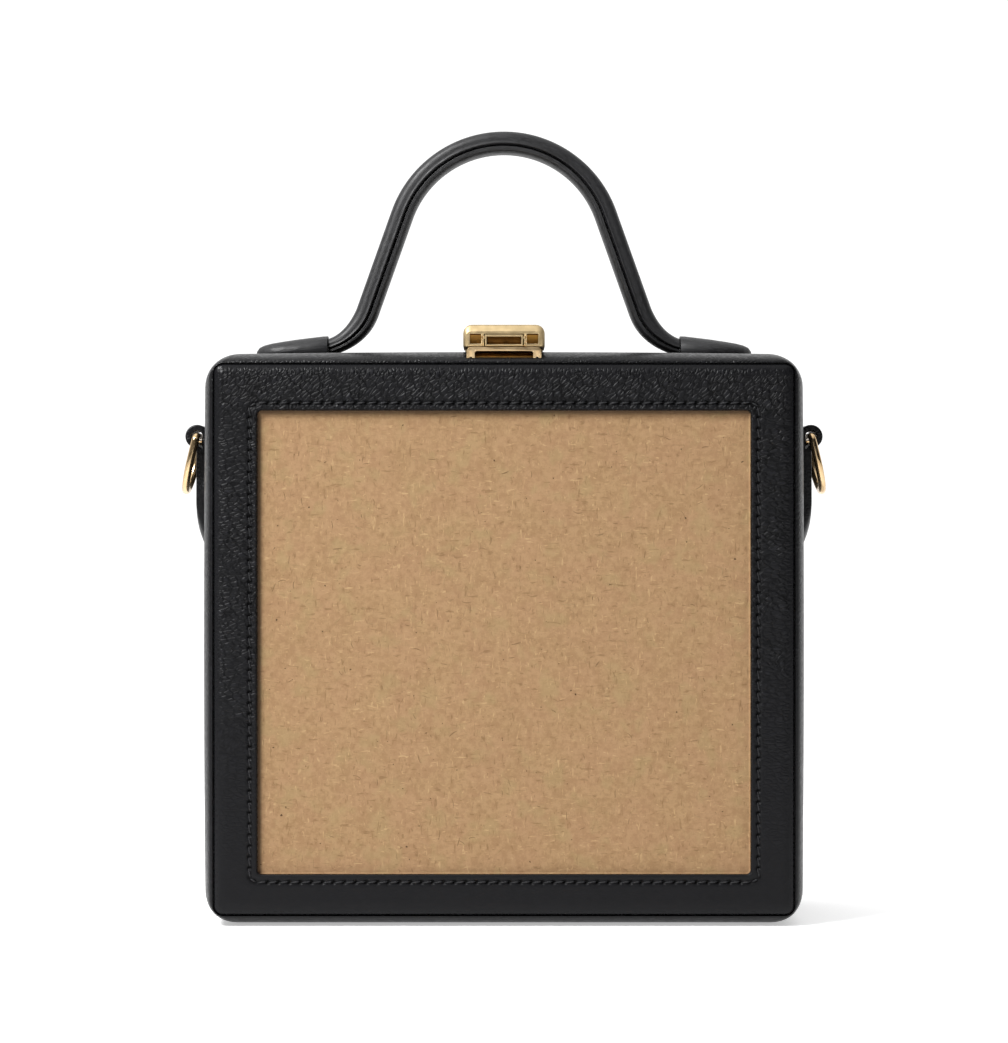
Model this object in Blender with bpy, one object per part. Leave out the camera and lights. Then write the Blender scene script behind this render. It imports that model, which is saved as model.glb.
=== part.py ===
"""Square box bag: a shallow framed lid and a deeper body, both leather-covered trays, hinged along the bottom.

A rolled top handle, a metal lever clasp and two D-rings in side loops are carried by the body.
Metres, +Z up, origin on the resting plane below the middle of the bag. The lid's framed face looks to -Y.
"""

import math

import bmesh
import bpy
from mathutils import Vector

GAP = 0.0003

# The box, over its widest outline, which lies behind the rounded shoulders of both faces.
BOX_WIDTH = 0.192
BOX_HEIGHT = 0.1826
BOX_DEPTH = 0.076
BOX_CORNER = 0.0112
LID_DEPTH = 0.018
WALL = 0.0028
BOARD = 0.002
TOP_BULGE = 0.0008
SIDE_BULGE = 0.0005
SHOULDER_RISE = 0.0037
SHOULDER_DEPTH = 0.0148
SPLIT_GAP = 0.0004
SPLIT_EDGE = 0.0005

# The leather panels that are laid on the two boards, inside the groove that runs round each face.
PANEL_THICKNESS = 0.0034
PANEL_CORNER = 0.0027
PANEL_EDGE_WIDTH = 0.0038
PANEL_EDGE_DEPTH = 0.0020
GROOVE = 0.00035
NOSE_DEPTH = 0.0011

# The window of the front panel, by the widths of the leather beside, below and above it, and its sheet.
WINDOW_STILE = 0.0139
WINDOW_SILL = 0.0130
WINDOW_HEAD = 0.0148
WINDOW_CORNER = 0.0014
WINDOW_LIP = 0.0018
STITCH_OFFSET = 0.0024
STITCH_DIP = 0.00022
REBATE = 0.0060

# The hinge along the bottom of the split.
HINGE_MARGIN = 0.011
HINGE_RADIUS = 0.00135
HINGE_AXIS_HEIGHT = 0.0016
HINGE_SLOT = 0.0026
HINGE_LEAF = 0.0007
HINGE_RELIEF = 0.0019
HINGE_KNUCKLES = 5

# The rolled handle: its centre line is an arch of three kinds of stretch.
HANDLE_RISE = 0.0672
HANDLE_CROWN_RADIUS = 0.0354
HANDLE_LEG_SLOPE = 70.4
HANDLE_FOOT_RADIUS = 0.019
HANDLE_MOUTH_SLOPE = 15.0
HANDLE_THICKNESS = 0.0070
HANDLE_WIDTH = 0.0112
HANDLE_ROLL_SHARE = 0.64
HANDLE_END_SHARE = 0.72
HANDLE_TAPER = 0.016

# The leather boots that hold the handle's ends.
MOUNT_LENGTH = 0.0234
MOUNT_HEIGHT = 0.0064
MOUNT_WIDTH = 0.0172

# The side loops and their rings.
RING_BAR_DROP = 0.0260
RING_WIDTH = 0.0215
RING_LENGTH = 0.0181
RING_WIRE = 0.00125
RING_CORNER = 0.0018
RING_LEAN = 13.5
RING_CLEARANCE = 0.0006
TAB_WIDTH = 0.0165
TAB_LEATHER = 0.0020
TAB_LENGTH = 0.0370
TAB_POINT_SHARE = 0.9

# The clasp: a keeper on the lid, and on the body a housing with a small lever.
KEEPER_WIDTH = 0.0238
KEEPER_SETBACK = 0.0019
KEEPER_PLATE = 0.0006
KEEPER_LIP = 0.0012
KEEPER_LEG = 0.0026
KEEPER_GROOVE = 0.0008
KEEPER_CORNER = 0.0015
KEEPER_DROP = 0.0042
KEEPER_MARGIN = 0.0012
HOUSING_WIDTH = 0.0260
HOUSING_HEIGHT = 0.0073
HOUSING_SETBACK = 0.0010
HOUSING_SEAT = 0.0112
HOUSING_CORNER = 0.0028
HOUSING_FLANGE = 0.0008
RECESS_WIDTH = 0.0218
RECESS_HEIGHT = 0.0032
RECESS_DEPTH = 0.0060
CHEEK = 0.0009
LEVER_WIDTH = 0.0122
LEVER_THICKNESS = 0.0018
LEVER_BORDER = 0.0009
LEVER_DISH = 0.0009
TRUNNION_RADIUS = 0.00045
TRUNNION_LENGTH = 0.0006

ARC_STEPS = 6
SIDE_STEPS = 8
SHOULDER_STEPS = 9
EDGE_STEPS = 5
WIRE_RESOLUTION = 3

FRONT = -BOX_DEPTH / 2
BACK = BOX_DEPTH / 2
SPLIT = FRONT + LID_DEPTH
BOARD_FACE = PANEL_THICKNESS + GAP
PANEL_HALF_WIDTH = BOX_WIDTH / 2 - SHOULDER_RISE
PANEL_LOW = SHOULDER_RISE
PANEL_HIGH = BOX_HEIGHT - SHOULDER_RISE
WINDOW_HALF_WIDTH = PANEL_HALF_WIDTH - WINDOW_STILE
WINDOW_LOW = PANEL_LOW + WINDOW_SILL
WINDOW_HIGH = PANEL_HIGH - WINDOW_HEAD
HINGE_LENGTH = BOX_WIDTH - 2 * HINGE_MARGIN
RING_BAR_HEIGHT = BOX_HEIGHT - RING_BAR_DROP

# A boot's profile from the handle's mouth to its tip, as shares of its length, height and width.
MOUNT_SECTIONS = [
    {"along": 0.00, "height": 1.00, "width": 0.86},
    {"along": 0.05, "height": 1.00, "width": 0.90},
    {"along": 0.20, "height": 0.94, "width": 0.97},
    {"along": 0.42, "height": 0.85, "width": 1.00},
    {"along": 0.62, "height": 0.75, "width": 0.95},
    {"along": 0.78, "height": 0.63, "width": 0.82},
    {"along": 0.89, "height": 0.49, "width": 0.62},
    {"along": 0.96, "height": 0.35, "width": 0.40},
    {"along": 1.00, "height": 0.18, "width": 0.20},
]

# Half of a boot's section from its base to its top, as shares of its half width and its height.
MOUNT_OUTLINE_SHARES = [
    (0.90, 0.0), (0.99, 0.14), (1.0, 0.30), (0.95, 0.52), (0.80, 0.76), (0.52, 0.93), (0.20, 1.0)
]

# Half of the section of the strip below the handle's seam, as shares of its height and its half width.
STRIP_SHARES = [(0.0, 0.80), (0.16, 0.92), (0.45, 0.94), (0.80, 0.78), (1.0, 0.48)]

# A side loop's front face from its tip to below the fold, as shares of its length and doubled thickness.
TAB_FACE_SHARES = [(0.0, 0.30), (0.06, 0.62), (0.16, 0.86), (0.32, 0.97), (0.60, 1.0)]

# The fold over the ring's bar, as angles above level.
TAB_FOLD_ANGLES = [-42.0, -15.0, 10.0, 35.0, 60.0, 85.0, 108.0]

# A side loop's edge across its width: how far the leather is rounded off, as shares of its half width.
TAB_EDGES = [
    {"across": -1.00, "thickness": 0.72},
    {"across": -0.94, "thickness": 0.92},
    {"across": -0.80, "thickness": 1.00},
    {"across": -0.40, "thickness": 1.00},
    {"across": 0.00, "thickness": 1.00},
    {"across": 0.40, "thickness": 1.00},
    {"across": 0.80, "thickness": 1.00},
    {"across": 0.94, "thickness": 0.92},
    {"across": 1.00, "thickness": 0.72},
]


def clear_scene():
    for item in list(bpy.data.objects):
        bpy.data.objects.remove(item)


def finish(name, colour, roughness, metallic=0.0):
    """A Principled material with a plain colour."""
    material = bpy.data.materials.new(name)
    material.use_nodes = True
    shader = material.node_tree.nodes["Principled BSDF"]
    shader.inputs["Base Color"].default_value = (*colour, 1.0)
    shader.inputs["Roughness"].default_value = roughness
    shader.inputs["Metallic"].default_value = metallic
    return material


def place(name, mesh, material, smooth_angle=35.0):
    """Links a mesh to the scene as one named, smoothly shaded object."""
    mesh.shade_smooth()
    mesh.set_sharp_from_angle(angle=math.radians(smooth_angle))
    item = bpy.data.objects.new(name, mesh)
    bpy.context.scene.collection.objects.link(item)
    mesh.materials.append(material)
    return item


def loft(name, rings, material, closed=False, smooth_angle=35.0):
    """Joins rings of equal length into one closed body, with the first and last ring filled unless it is closed."""
    shape = bmesh.new()
    loops = [[shape.verts.new(point) for point in ring] for ring in rings]
    count = len(loops[0])
    pairs = list(zip(loops, loops[1:]))
    if closed:
        pairs.append((loops[-1], loops[0]))
    for first, second in pairs:
        for i in range(count):
            j = (i + 1) % count
            shape.faces.new((first[i], first[j], second[j], second[i]))
    if not closed:
        shape.faces.new(loops[0])
        shape.faces.new(loops[-1])
    bmesh.ops.recalc_face_normals(shape, faces=shape.faces)
    mesh = bpy.data.meshes.new(name)
    shape.to_mesh(mesh)
    shape.free()
    return place(name, mesh, material, smooth_angle)


def prism(name, outline, span, material, axis="X"):
    """Extrudes an outline between two places along an axis. The outline's points are the other two coordinates."""
    def at(place_along, first, second):
        return (place_along, first, second) if axis == "X" else (first, place_along, second)
    rings = [[at(place_along, *point) for point in outline] for place_along in span]
    return loft(name, rings, material)


def block(name, low, high, material):
    """A box between two corners."""
    outline = [(low[1], low[2]), (high[1], low[2]), (high[1], high[2]), (low[1], high[2])]
    return prism(name, outline, (low[0], high[0]), material)


def combine(target, tool, operation):
    """Applies a Boolean to the target's mesh and drops the tool."""
    step = target.modifiers.new(tool.name, "BOOLEAN")
    step.operation = operation
    step.solver = "EXACT"
    step.object = tool
    bpy.context.view_layer.update()
    depsgraph = bpy.context.evaluated_depsgraph_get()
    mesh = bpy.data.meshes.new_from_object(target.evaluated_get(depsgraph))
    target.modifiers.clear()
    target.data = mesh
    bpy.data.objects.remove(tool)
    return target


def outline_ring(half_width, low, high, corner, y, barrel=0.0):
    """A rounded rectangle facing Y. barrel is the share of the box's slight bulge at its top and sides."""
    centres = [
        (half_width - corner, low + corner, -90.0),
        (half_width - corner, high - corner, 0.0),
        (-half_width + corner, high - corner, 90.0),
        (-half_width + corner, low + corner, 180.0),
    ]
    corners = []
    for x, z, start in centres:
        turns = [math.radians(start + 90.0 * i / ARC_STEPS) for i in range(ARC_STEPS + 1)]
        corners.append([(x + corner * math.cos(a), z + corner * math.sin(a)) for a in turns])
    points = []
    for arc, following in zip(corners, corners[1:] + corners[:1]):
        points.extend(arc)
        start, end = Vector(arc[-1]), Vector(following[0])
        points.extend(tuple(start.lerp(end, i / SIDE_STEPS)) for i in range(1, SIDE_STEPS))
    middle, half_height = (low + high) / 2, (high - low) / 2
    ring = []
    for x, z in points:
        side = barrel * SIDE_BULGE * (1 - ((z - middle) / half_height) ** 2) * x / half_width
        top = barrel * TOP_BULGE * (1 - (x / half_width) ** 2) * (z - low) / (high - low)
        ring.append((x + side, y, z + top))
    return ring


def box_ring(outset, y, corner=None, barrel=None):
    """A ring that stands out from the face panels' outline. By itself it rounds and bulges with its outset."""
    share = outset / SHOULDER_RISE
    corner = PANEL_CORNER + share * (BOX_CORNER - PANEL_CORNER) if corner is None else corner
    barrel = share if barrel is None else barrel
    half_width = PANEL_HALF_WIDTH + outset
    return outline_ring(half_width, PANEL_LOW - outset, PANEL_HIGH + outset, corner, y, barrel)


def window_ring(outset, y):
    """A ring that stands out from the window's edge."""
    half_width = WINDOW_HALF_WIDTH + outset
    return outline_ring(half_width, WINDOW_LOW - outset, WINDOW_HIGH + outset, WINDOW_CORNER + outset, y)


def panel_ring(inset, y):
    """A ring inside the face panels' outline."""
    corner = max(PANEL_CORNER - 0.5 * inset, 0.2 * PANEL_CORNER)
    return outline_ring(PANEL_HALF_WIDTH - inset, PANEL_LOW + inset, PANEL_HIGH - inset, corner, y)


def top_surface(x):
    """Height of the box's top behind the shoulders."""
    return BOX_HEIGHT + TOP_BULGE * (1 - (x / (BOX_WIDTH / 2)) ** 2)


def side_surface(z):
    """How far the box's side stands from its middle plane, behind the shoulders."""
    return BOX_WIDTH / 2 + SIDE_BULGE * (1 - ((z - BOX_HEIGHT / 2) / (BOX_HEIGHT / 2)) ** 2)


def shoulder_outset(depth):
    """How far a shoulder stands out from the panels' outline at a depth behind the face."""
    share = min(max((depth - NOSE_DEPTH) / SHOULDER_DEPTH, 0.0), 1.0)
    return GROOVE + (SHOULDER_RISE - GROOVE) * math.sqrt(1 - (1 - share) ** 2)


def shoulder_top(depth):
    """Height of the top, at the middle of the bag, at a depth behind the face."""
    outset = shoulder_outset(depth)
    return PANEL_HIGH + outset + TOP_BULGE * outset / SHOULDER_RISE


def tray(name, face, rim, material):
    """A board with walls all round. face is the plane of its leather panel and rim the plane of its open edge."""
    inward = 1 if rim > face else -1
    rings = [box_ring(GROOVE, face + inward * BOARD_FACE)]
    for i in range(SHOULDER_STEPS + 1):
        turn = math.radians(90.0 * i / SHOULDER_STEPS)
        outset = GROOVE + (SHOULDER_RISE - GROOVE) * math.sin(turn)
        depth = NOSE_DEPTH + SHOULDER_DEPTH * (1 - math.cos(turn))
        rings.append(box_ring(outset, face + inward * depth))
    rings.append(box_ring(SHOULDER_RISE, rim - inward * SPLIT_EDGE))
    rings.append(box_ring(SHOULDER_RISE - SPLIT_EDGE, rim, BOX_CORNER - SPLIT_EDGE, 1.0))
    inside = SHOULDER_RISE - WALL
    inner_corner = BOX_CORNER - WALL
    rings.append(box_ring(inside, rim, inner_corner, 1.0))
    rings.append(box_ring(inside, face + inward * (BOARD_FACE + BOARD), inner_corner, 1.0))
    shell = loft(name, rings, material)
    slot_top = WALL + SPLIT_EDGE
    reach = HINGE_LENGTH / 2 + GAP
    low = (-reach, SPLIT - HINGE_SLOT, -WALL)
    high = (reach, SPLIT + HINGE_SLOT, slot_top)
    return combine(shell, block(name + "_hinge_slot", low, high, material), "DIFFERENCE")


def lid_shell(material):
    """The lid's tray. Beyond the hinge its lower edge is cut back, to turn past the body's edge."""
    shell = tray("lid_shell", FRONT, SPLIT - SPLIT_GAP / 2, material)
    low = (-BOX_WIDTH, SPLIT - HINGE_RELIEF, -WALL)
    high = (BOX_WIDTH, SPLIT, HINGE_AXIS_HEIGHT)
    return combine(shell, block("hinge_relief", low, high, material), "DIFFERENCE")


def panel_edge(face, inward):
    """The padded outer edge of a face panel, from its back to its flat front."""
    rings = [panel_ring(0.0, face + inward * PANEL_THICKNESS)]
    for i in range(EDGE_STEPS + 1):
        turn = math.radians(90.0 * i / EDGE_STEPS)
        inset = PANEL_EDGE_WIDTH * (1 - math.cos(turn))
        depth = PANEL_EDGE_DEPTH * (1 - math.sin(turn))
        rings.append(panel_ring(inset, face + inward * depth))
    return rings


def front_frame(material):
    """The leather frame of the lid: a padded outer edge, a stitched inner edge and a rebate for the sheet."""
    rings = panel_edge(FRONT, 1)
    inner_edge = [
        (2.0 * STITCH_OFFSET, 0.0),
        (1.4 * STITCH_OFFSET, 0.2 * STITCH_DIP),
        (STITCH_OFFSET, STITCH_DIP),
        (0.6 * STITCH_OFFSET, 0.2 * STITCH_DIP),
        (0.15 * STITCH_OFFSET, 0.5 * STITCH_DIP),
        (0.0, 0.4 * WINDOW_LIP),
        (0.0, WINDOW_LIP),
        (REBATE, WINDOW_LIP),
        (REBATE, PANEL_THICKNESS),
    ]
    rings.extend(window_ring(outset, FRONT + depth) for outset, depth in inner_edge)
    return loft("front_frame", rings, material, closed=True)


def front_sheet(material):
    """The fibrous sheet behind the window, held in the frame's rebate."""
    outset = REBATE - GAP
    near = FRONT + WINDOW_LIP + GAP
    far = FRONT + PANEL_THICKNESS
    return loft("front_sheet", [window_ring(outset, near), window_ring(outset, far)], material)


def back_panel(material):
    """The plain leather panel of the body's back, with the same padded edge as the front."""
    return loft("back_panel", panel_edge(BACK, -1), material)


def disc(centre_y, centre_z, radius, sides=12):
    """Points round a circle in Y and Z."""
    turns = [2 * math.pi * i / sides for i in range(sides)]
    return [(centre_y + radius * math.cos(a), centre_z + radius * math.sin(a)) for a in turns]


def hinge_leaf(name, side, first_knuckle, material):
    """One leaf of the bottom hinge: a strip along the slot's wall with every second knuckle."""
    half = HINGE_LENGTH / 2
    outer = HINGE_SLOT - GAP
    strip_y = sorted((SPLIT + side * outer, SPLIT + side * (outer - HINGE_LEAF)))
    low_edge = HINGE_AXIS_HEIGHT - HINGE_RADIUS
    leaf = block(name, (-half, strip_y[0], low_edge), (half, strip_y[1], WALL), material)
    pitch = HINGE_LENGTH / HINGE_KNUCKLES
    for i in range(first_knuckle, HINGE_KNUCKLES, 2):
        start = -half + i * pitch + (GAP if i else 0.0)
        end = -half + (i + 1) * pitch - (GAP if i < HINGE_KNUCKLES - 1 else 0.0)
        barrel = disc(SPLIT, HINGE_AXIS_HEIGHT, HINGE_RADIUS)
        combine(leaf, prism(name + "_barrel", barrel, (start, end), material), "UNION")
        web_y = sorted((SPLIT, SPLIT + side * (outer - HINGE_LEAF / 2)))
        web_low = HINGE_AXIS_HEIGHT - HINGE_RADIUS / 2
        web_high = HINGE_AXIS_HEIGHT + HINGE_RADIUS / 2
        web = block(name + "_web", (start, web_y[0], web_low), (end, web_y[1], web_high), material)
        combine(leaf, web, "UNION")
    return leaf


def handle_path():
    """Stations of the handle's centre line from the crown to the right mouth: x, z and the slope below level."""
    leg = math.radians(HANDLE_LEG_SLOPE)
    mouth = math.radians(HANDLE_MOUTH_SLOPE)
    crown_drop = HANDLE_CROWN_RADIUS * (1 - math.cos(leg))
    foot_drop = HANDLE_FOOT_RADIUS * (math.cos(mouth) - math.cos(leg))
    leg_length = (HANDLE_RISE - crown_drop - foot_drop) / math.sin(leg)
    leg_x = HANDLE_CROWN_RADIUS * math.sin(leg) + leg_length * math.cos(leg)
    mouth_x = leg_x + HANDLE_FOOT_RADIUS * (math.sin(leg) - math.sin(mouth))
    end_half = HANDLE_END_SHARE * HANDLE_THICKNESS / 2
    mouth_z = top_surface(mouth_x) + GAP + end_half / math.cos(mouth)
    crown_z = mouth_z + HANDLE_RISE
    stations = []
    crown_steps = 9
    for i in range(crown_steps):
        turn = leg * i / crown_steps
        x = HANDLE_CROWN_RADIUS * math.sin(turn)
        z = crown_z - HANDLE_CROWN_RADIUS * (1 - math.cos(turn))
        stations.append((x, z, turn))
    leg_steps = 3
    for i in range(leg_steps):
        along = leg_length * i / leg_steps
        x = HANDLE_CROWN_RADIUS * math.sin(leg) + along * math.cos(leg)
        stations.append((x, crown_z - crown_drop - along * math.sin(leg), leg))
    foot_steps = 7
    for i in range(foot_steps + 1):
        turn = leg + (mouth - leg) * i / foot_steps
        x = leg_x + HANDLE_FOOT_RADIUS * (math.sin(leg) - math.sin(turn))
        z = mouth_z + HANDLE_FOOT_RADIUS * (math.cos(mouth) - math.cos(turn))
        stations.append((x, z, turn))
    return stations


def whole_handle():
    """Stations of the whole arch from the left mouth to the right one, each with its share of thickness."""
    half = handle_path()
    lengths = [0.0]
    for (x, z, _), (next_x, next_z, _) in zip(half, half[1:]):
        lengths.append(lengths[-1] + math.hypot(next_x - x, next_z - z))
    stations = []
    for (x, z, slope), length in zip(half, lengths):
        near_end = min((lengths[-1] - length) / HANDLE_TAPER, 1.0)
        ease = near_end * near_end * (3 - 2 * near_end)
        stations.append((x, z, slope, HANDLE_END_SHARE + (1 - HANDLE_END_SHARE) * ease))
    mirrored = [(-x, z, -slope, share) for x, z, slope, share in reversed(stations[1:])]
    return mirrored + stations


def sweep_handle(name, section, material):
    """Runs a section of (outward, y) points along the handle. Its two end faces stand upright."""
    stations = whole_handle()
    last = len(stations) - 1
    rings = []
    for i, (x, z, slope, share) in enumerate(stations):
        if i in (0, last):
            out_x, out_z = 0.0, 1 / math.cos(slope)
        else:
            out_x, out_z = math.sin(slope), math.cos(slope)
        rings.append([(x + share * out * out_x, y, z + share * out * out_z) for out, y in section])
    return loft(name, rings, material, smooth_angle=50.0)


def handle_sections():
    """The roll above the handle's seam and the strip below it, as points of outward and y."""
    half, width = HANDLE_THICKNESS / 2, HANDLE_WIDTH / 2
    seam = half - HANDLE_ROLL_SHARE * HANDLE_THICKNESS
    roll_low, strip_high = seam + GAP / 2, seam - GAP / 2
    roll_height = half - roll_low
    roll = [(roll_low, -0.86 * width), (roll_low, 0.86 * width), (roll_low + 0.12 * roll_height, 0.96 * width)]
    steps = 8
    for i in range(steps + 1):
        turn = math.pi * i / steps
        lift = roll_low + 0.3 * roll_height + 0.7 * roll_height * math.sin(turn)
        roll.append((lift, width * math.cos(turn)))
    roll.append((roll_low + 0.12 * roll_height, -0.96 * width))
    strip_height = strip_high + half
    strip = [(strip_high - down * strip_height, -across * width) for down, across in STRIP_SHARES]
    strip += [(out, -y) for out, y in reversed(strip)]
    return roll, strip


def handle_mount(name, side, material):
    """A leather boot on the box's top that closes on the handle's end."""
    mouth_x = handle_path()[-1][0] + GAP
    rings = []
    for row in MOUNT_SECTIONS:
        x = mouth_x + row["along"] * MOUNT_LENGTH
        base = top_surface(x) + GAP
        height = row["height"] * MOUNT_HEIGHT
        half = row["width"] * MOUNT_WIDTH / 2
        section = MOUNT_OUTLINE_SHARES + [(-across, up) for across, up in reversed(MOUNT_OUTLINE_SHARES)]
        rings.append([(side * x, across * half, base + up * height) for across, up in section])
    return loft(name, rings, material, smooth_angle=50.0)


def ring_centre():
    """Where a ring's bar passes: its distance from the bag's middle plane and its height."""
    stand_off = TAB_LEATHER + RING_CLEARANCE + RING_WIRE
    return side_surface(RING_BAR_HEIGHT) + GAP + stand_off, RING_BAR_HEIGHT


def ring_tab(name, side, material):
    """A doubled leather strip on the side wall, with its fold as the loop for the ring's bar."""
    bar_x, bar_z = ring_centre()
    fold = RING_WIRE + RING_CLEARANCE + TAB_LEATHER
    doubled = 2 * TAB_LEATHER
    foot = bar_z - TAB_LENGTH
    rings = []
    for row in TAB_EDGES:
        y = row["across"] * TAB_WIDTH / 2
        tip = foot + TAB_POINT_SHARE * TAB_WIDTH / 2 * (1 - math.sqrt(1 - row["across"] ** 2))
        outer = []
        for share, thickness in TAB_FACE_SHARES:
            z = tip + share * (bar_z - fold - tip)
            outer.append((side_surface(z) + GAP + thickness * row["thickness"] * doubled, z))
        reach = fold - (1 - row["thickness"]) * TAB_LEATHER
        z = bar_z - 1.25 * fold
        outer.append((side_surface(z) + GAP + row["thickness"] * doubled * 1.02, z))
        for degrees in TAB_FOLD_ANGLES:
            turn = math.radians(degrees)
            outer.append((bar_x + reach * math.cos(turn), bar_z + reach * math.sin(turn)))
        top = bar_z + 0.92 * reach
        inner = []
        for i in range(6):
            z = top + (tip - top) * i / 5
            inner.append((side_surface(z) + GAP, z))
        rings.append([(side * x, y, z) for x, z in outer + inner])
    tab = loft(name, rings, material, smooth_angle=40.0)
    bore = [(side * bar_x + dx, bar_z + dz) for dx, dz in disc(0.0, 0.0, RING_WIRE + RING_CLEARANCE)]
    cutter = prism(name + "_bore", bore, (-TAB_WIDTH, TAB_WIDTH), material, axis="Y")
    return combine(tab, cutter, "DIFFERENCE")


def d_ring(name, side, material):
    """A ring of round wire with a straight bar in the loop, leaning out from the wall."""
    bar_x, bar_z = ring_centre()
    half = RING_WIDTH / 2
    path = []
    for i in range(4):
        turn = math.radians(90.0 * i / 3)
        path.append((half - RING_CORNER * (1 - math.sin(turn)), RING_CORNER * (1 - math.cos(turn))))
    bow_steps = 16
    arm = RING_LENGTH - half
    for i in range(bow_steps + 1):
        turn = math.pi * i / bow_steps
        path.append((half * math.cos(turn), arm + half * math.sin(turn)))
    for i in range(4):
        turn = math.radians(90.0 * (3 - i) / 3)
        path.append((-half + RING_CORNER * (1 - math.sin(turn)), RING_CORNER * (1 - math.cos(turn))))
    lean = math.radians(RING_LEAN)
    curve = bpy.data.curves.new(name, "CURVE")
    curve.dimensions = "3D"
    curve.bevel_depth = RING_WIRE
    curve.bevel_resolution = WIRE_RESOLUTION
    spline = curve.splines.new("POLY")
    spline.points.add(len(path) - 1)
    spline.use_cyclic_u = True
    for point, (y, down) in zip(spline.points, path):
        x = side * (bar_x + down * math.sin(lean))
        point.co = (x, y, bar_z - down * math.cos(lean), 1.0)
    wire = bpy.data.objects.new(name + "_wire", curve)
    bpy.context.scene.collection.objects.link(wire)
    bpy.context.view_layer.update()
    mesh = bpy.data.meshes.new_from_object(wire.evaluated_get(bpy.context.evaluated_depsgraph_get()))
    bpy.data.objects.remove(wire)
    mesh.materials.clear()
    return place(name, mesh, material, smooth_angle=60.0)


def arch(half_width, low, high, corner):
    """Points of a doorway's outline from its right foot over the top to its left foot, as x and z."""
    points = [(half_width, low)]
    steps = 5
    for side, start in ((1, 0.0), (-1, 90.0)):
        for i in range(steps + 1):
            turn = math.radians(start + 90.0 * i / steps)
            x = side * (half_width - corner) + corner * math.cos(turn)
            points.append((x, high - corner + corner * math.sin(turn)))
    points.append((-half_width, low))
    return points


def clasp_keeper(material):
    """A low bridge that arches over the lid's shoulder and is cut to fit it, with a groove down each foot."""
    half = KEEPER_WIDTH / 2
    near = FRONT + KEEPER_SETBACK
    far = SPLIT - KEEPER_MARGIN
    top = top_surface(0.0) + GAP + KEEPER_PLATE
    low = top - KEEPER_DROP
    outer = arch(half, low, top, KEEPER_CORNER)
    inner = arch(half - KEEPER_LEG, low, top - KEEPER_LIP, KEEPER_CORNER / 2)
    keeper = prism("clasp_keeper", outer + inner[::-1], (near, far), material, axis="Y")
    steps = 14
    depths = [KEEPER_SETBACK - KEEPER_LIP / 2 + (LID_DEPTH - KEEPER_SETBACK) * i / steps for i in range(steps + 1)]
    bed = [(FRONT + depth, shoulder_top(depth) + GAP) for depth in depths]
    bed += [(FRONT + depths[-1], low - KEEPER_LIP), (FRONT + depths[0], low - KEEPER_LIP)]
    combine(keeper, prism("keeper_bed", bed, (-BOX_WIDTH / 2, BOX_WIDTH / 2), material), "DIFFERENCE")
    groove = KEEPER_GROOVE / 2
    for side in (-1, 1):
        middle = side * (half - 0.5 * KEEPER_LEG)
        cut_low = (middle - groove, near - KEEPER_LIP, low - KEEPER_LIP)
        cut_high = (middle + groove, near + groove, top - KEEPER_LIP)
        combine(keeper, block("keeper_groove", cut_low, cut_high, material), "DIFFERENCE")
    return keeper


def clasp_levels():
    """Heights that the clasp's pieces share: the housing's underside, its recess floor and the lever's axis."""
    under = top_surface(0.0) + 2 * GAP + KEEPER_PLATE
    floor = under + HOUSING_FLANGE
    axis = floor + RECESS_HEIGHT - GAP - LEVER_THICKNESS / 2
    return under, floor, axis


def housing_ring(y, half_width, low, high, corner):
    """A section of the housing: square below, round at its two upper corners."""
    points = [(-half_width, low), (half_width, low)]
    steps = 5
    for i in range(steps + 1):
        turn = math.radians(90.0 * i / steps)
        points.append((half_width - corner * (1 - math.cos(turn)), high - corner * (1 - math.sin(turn))))
    for i in range(steps + 1):
        turn = math.radians(90.0 + 90.0 * i / steps)
        points.append((-half_width + corner * (1 + math.cos(turn)), high - corner * (1 - math.sin(turn))))
    return [(x, y, z) for x, z in points]


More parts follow.
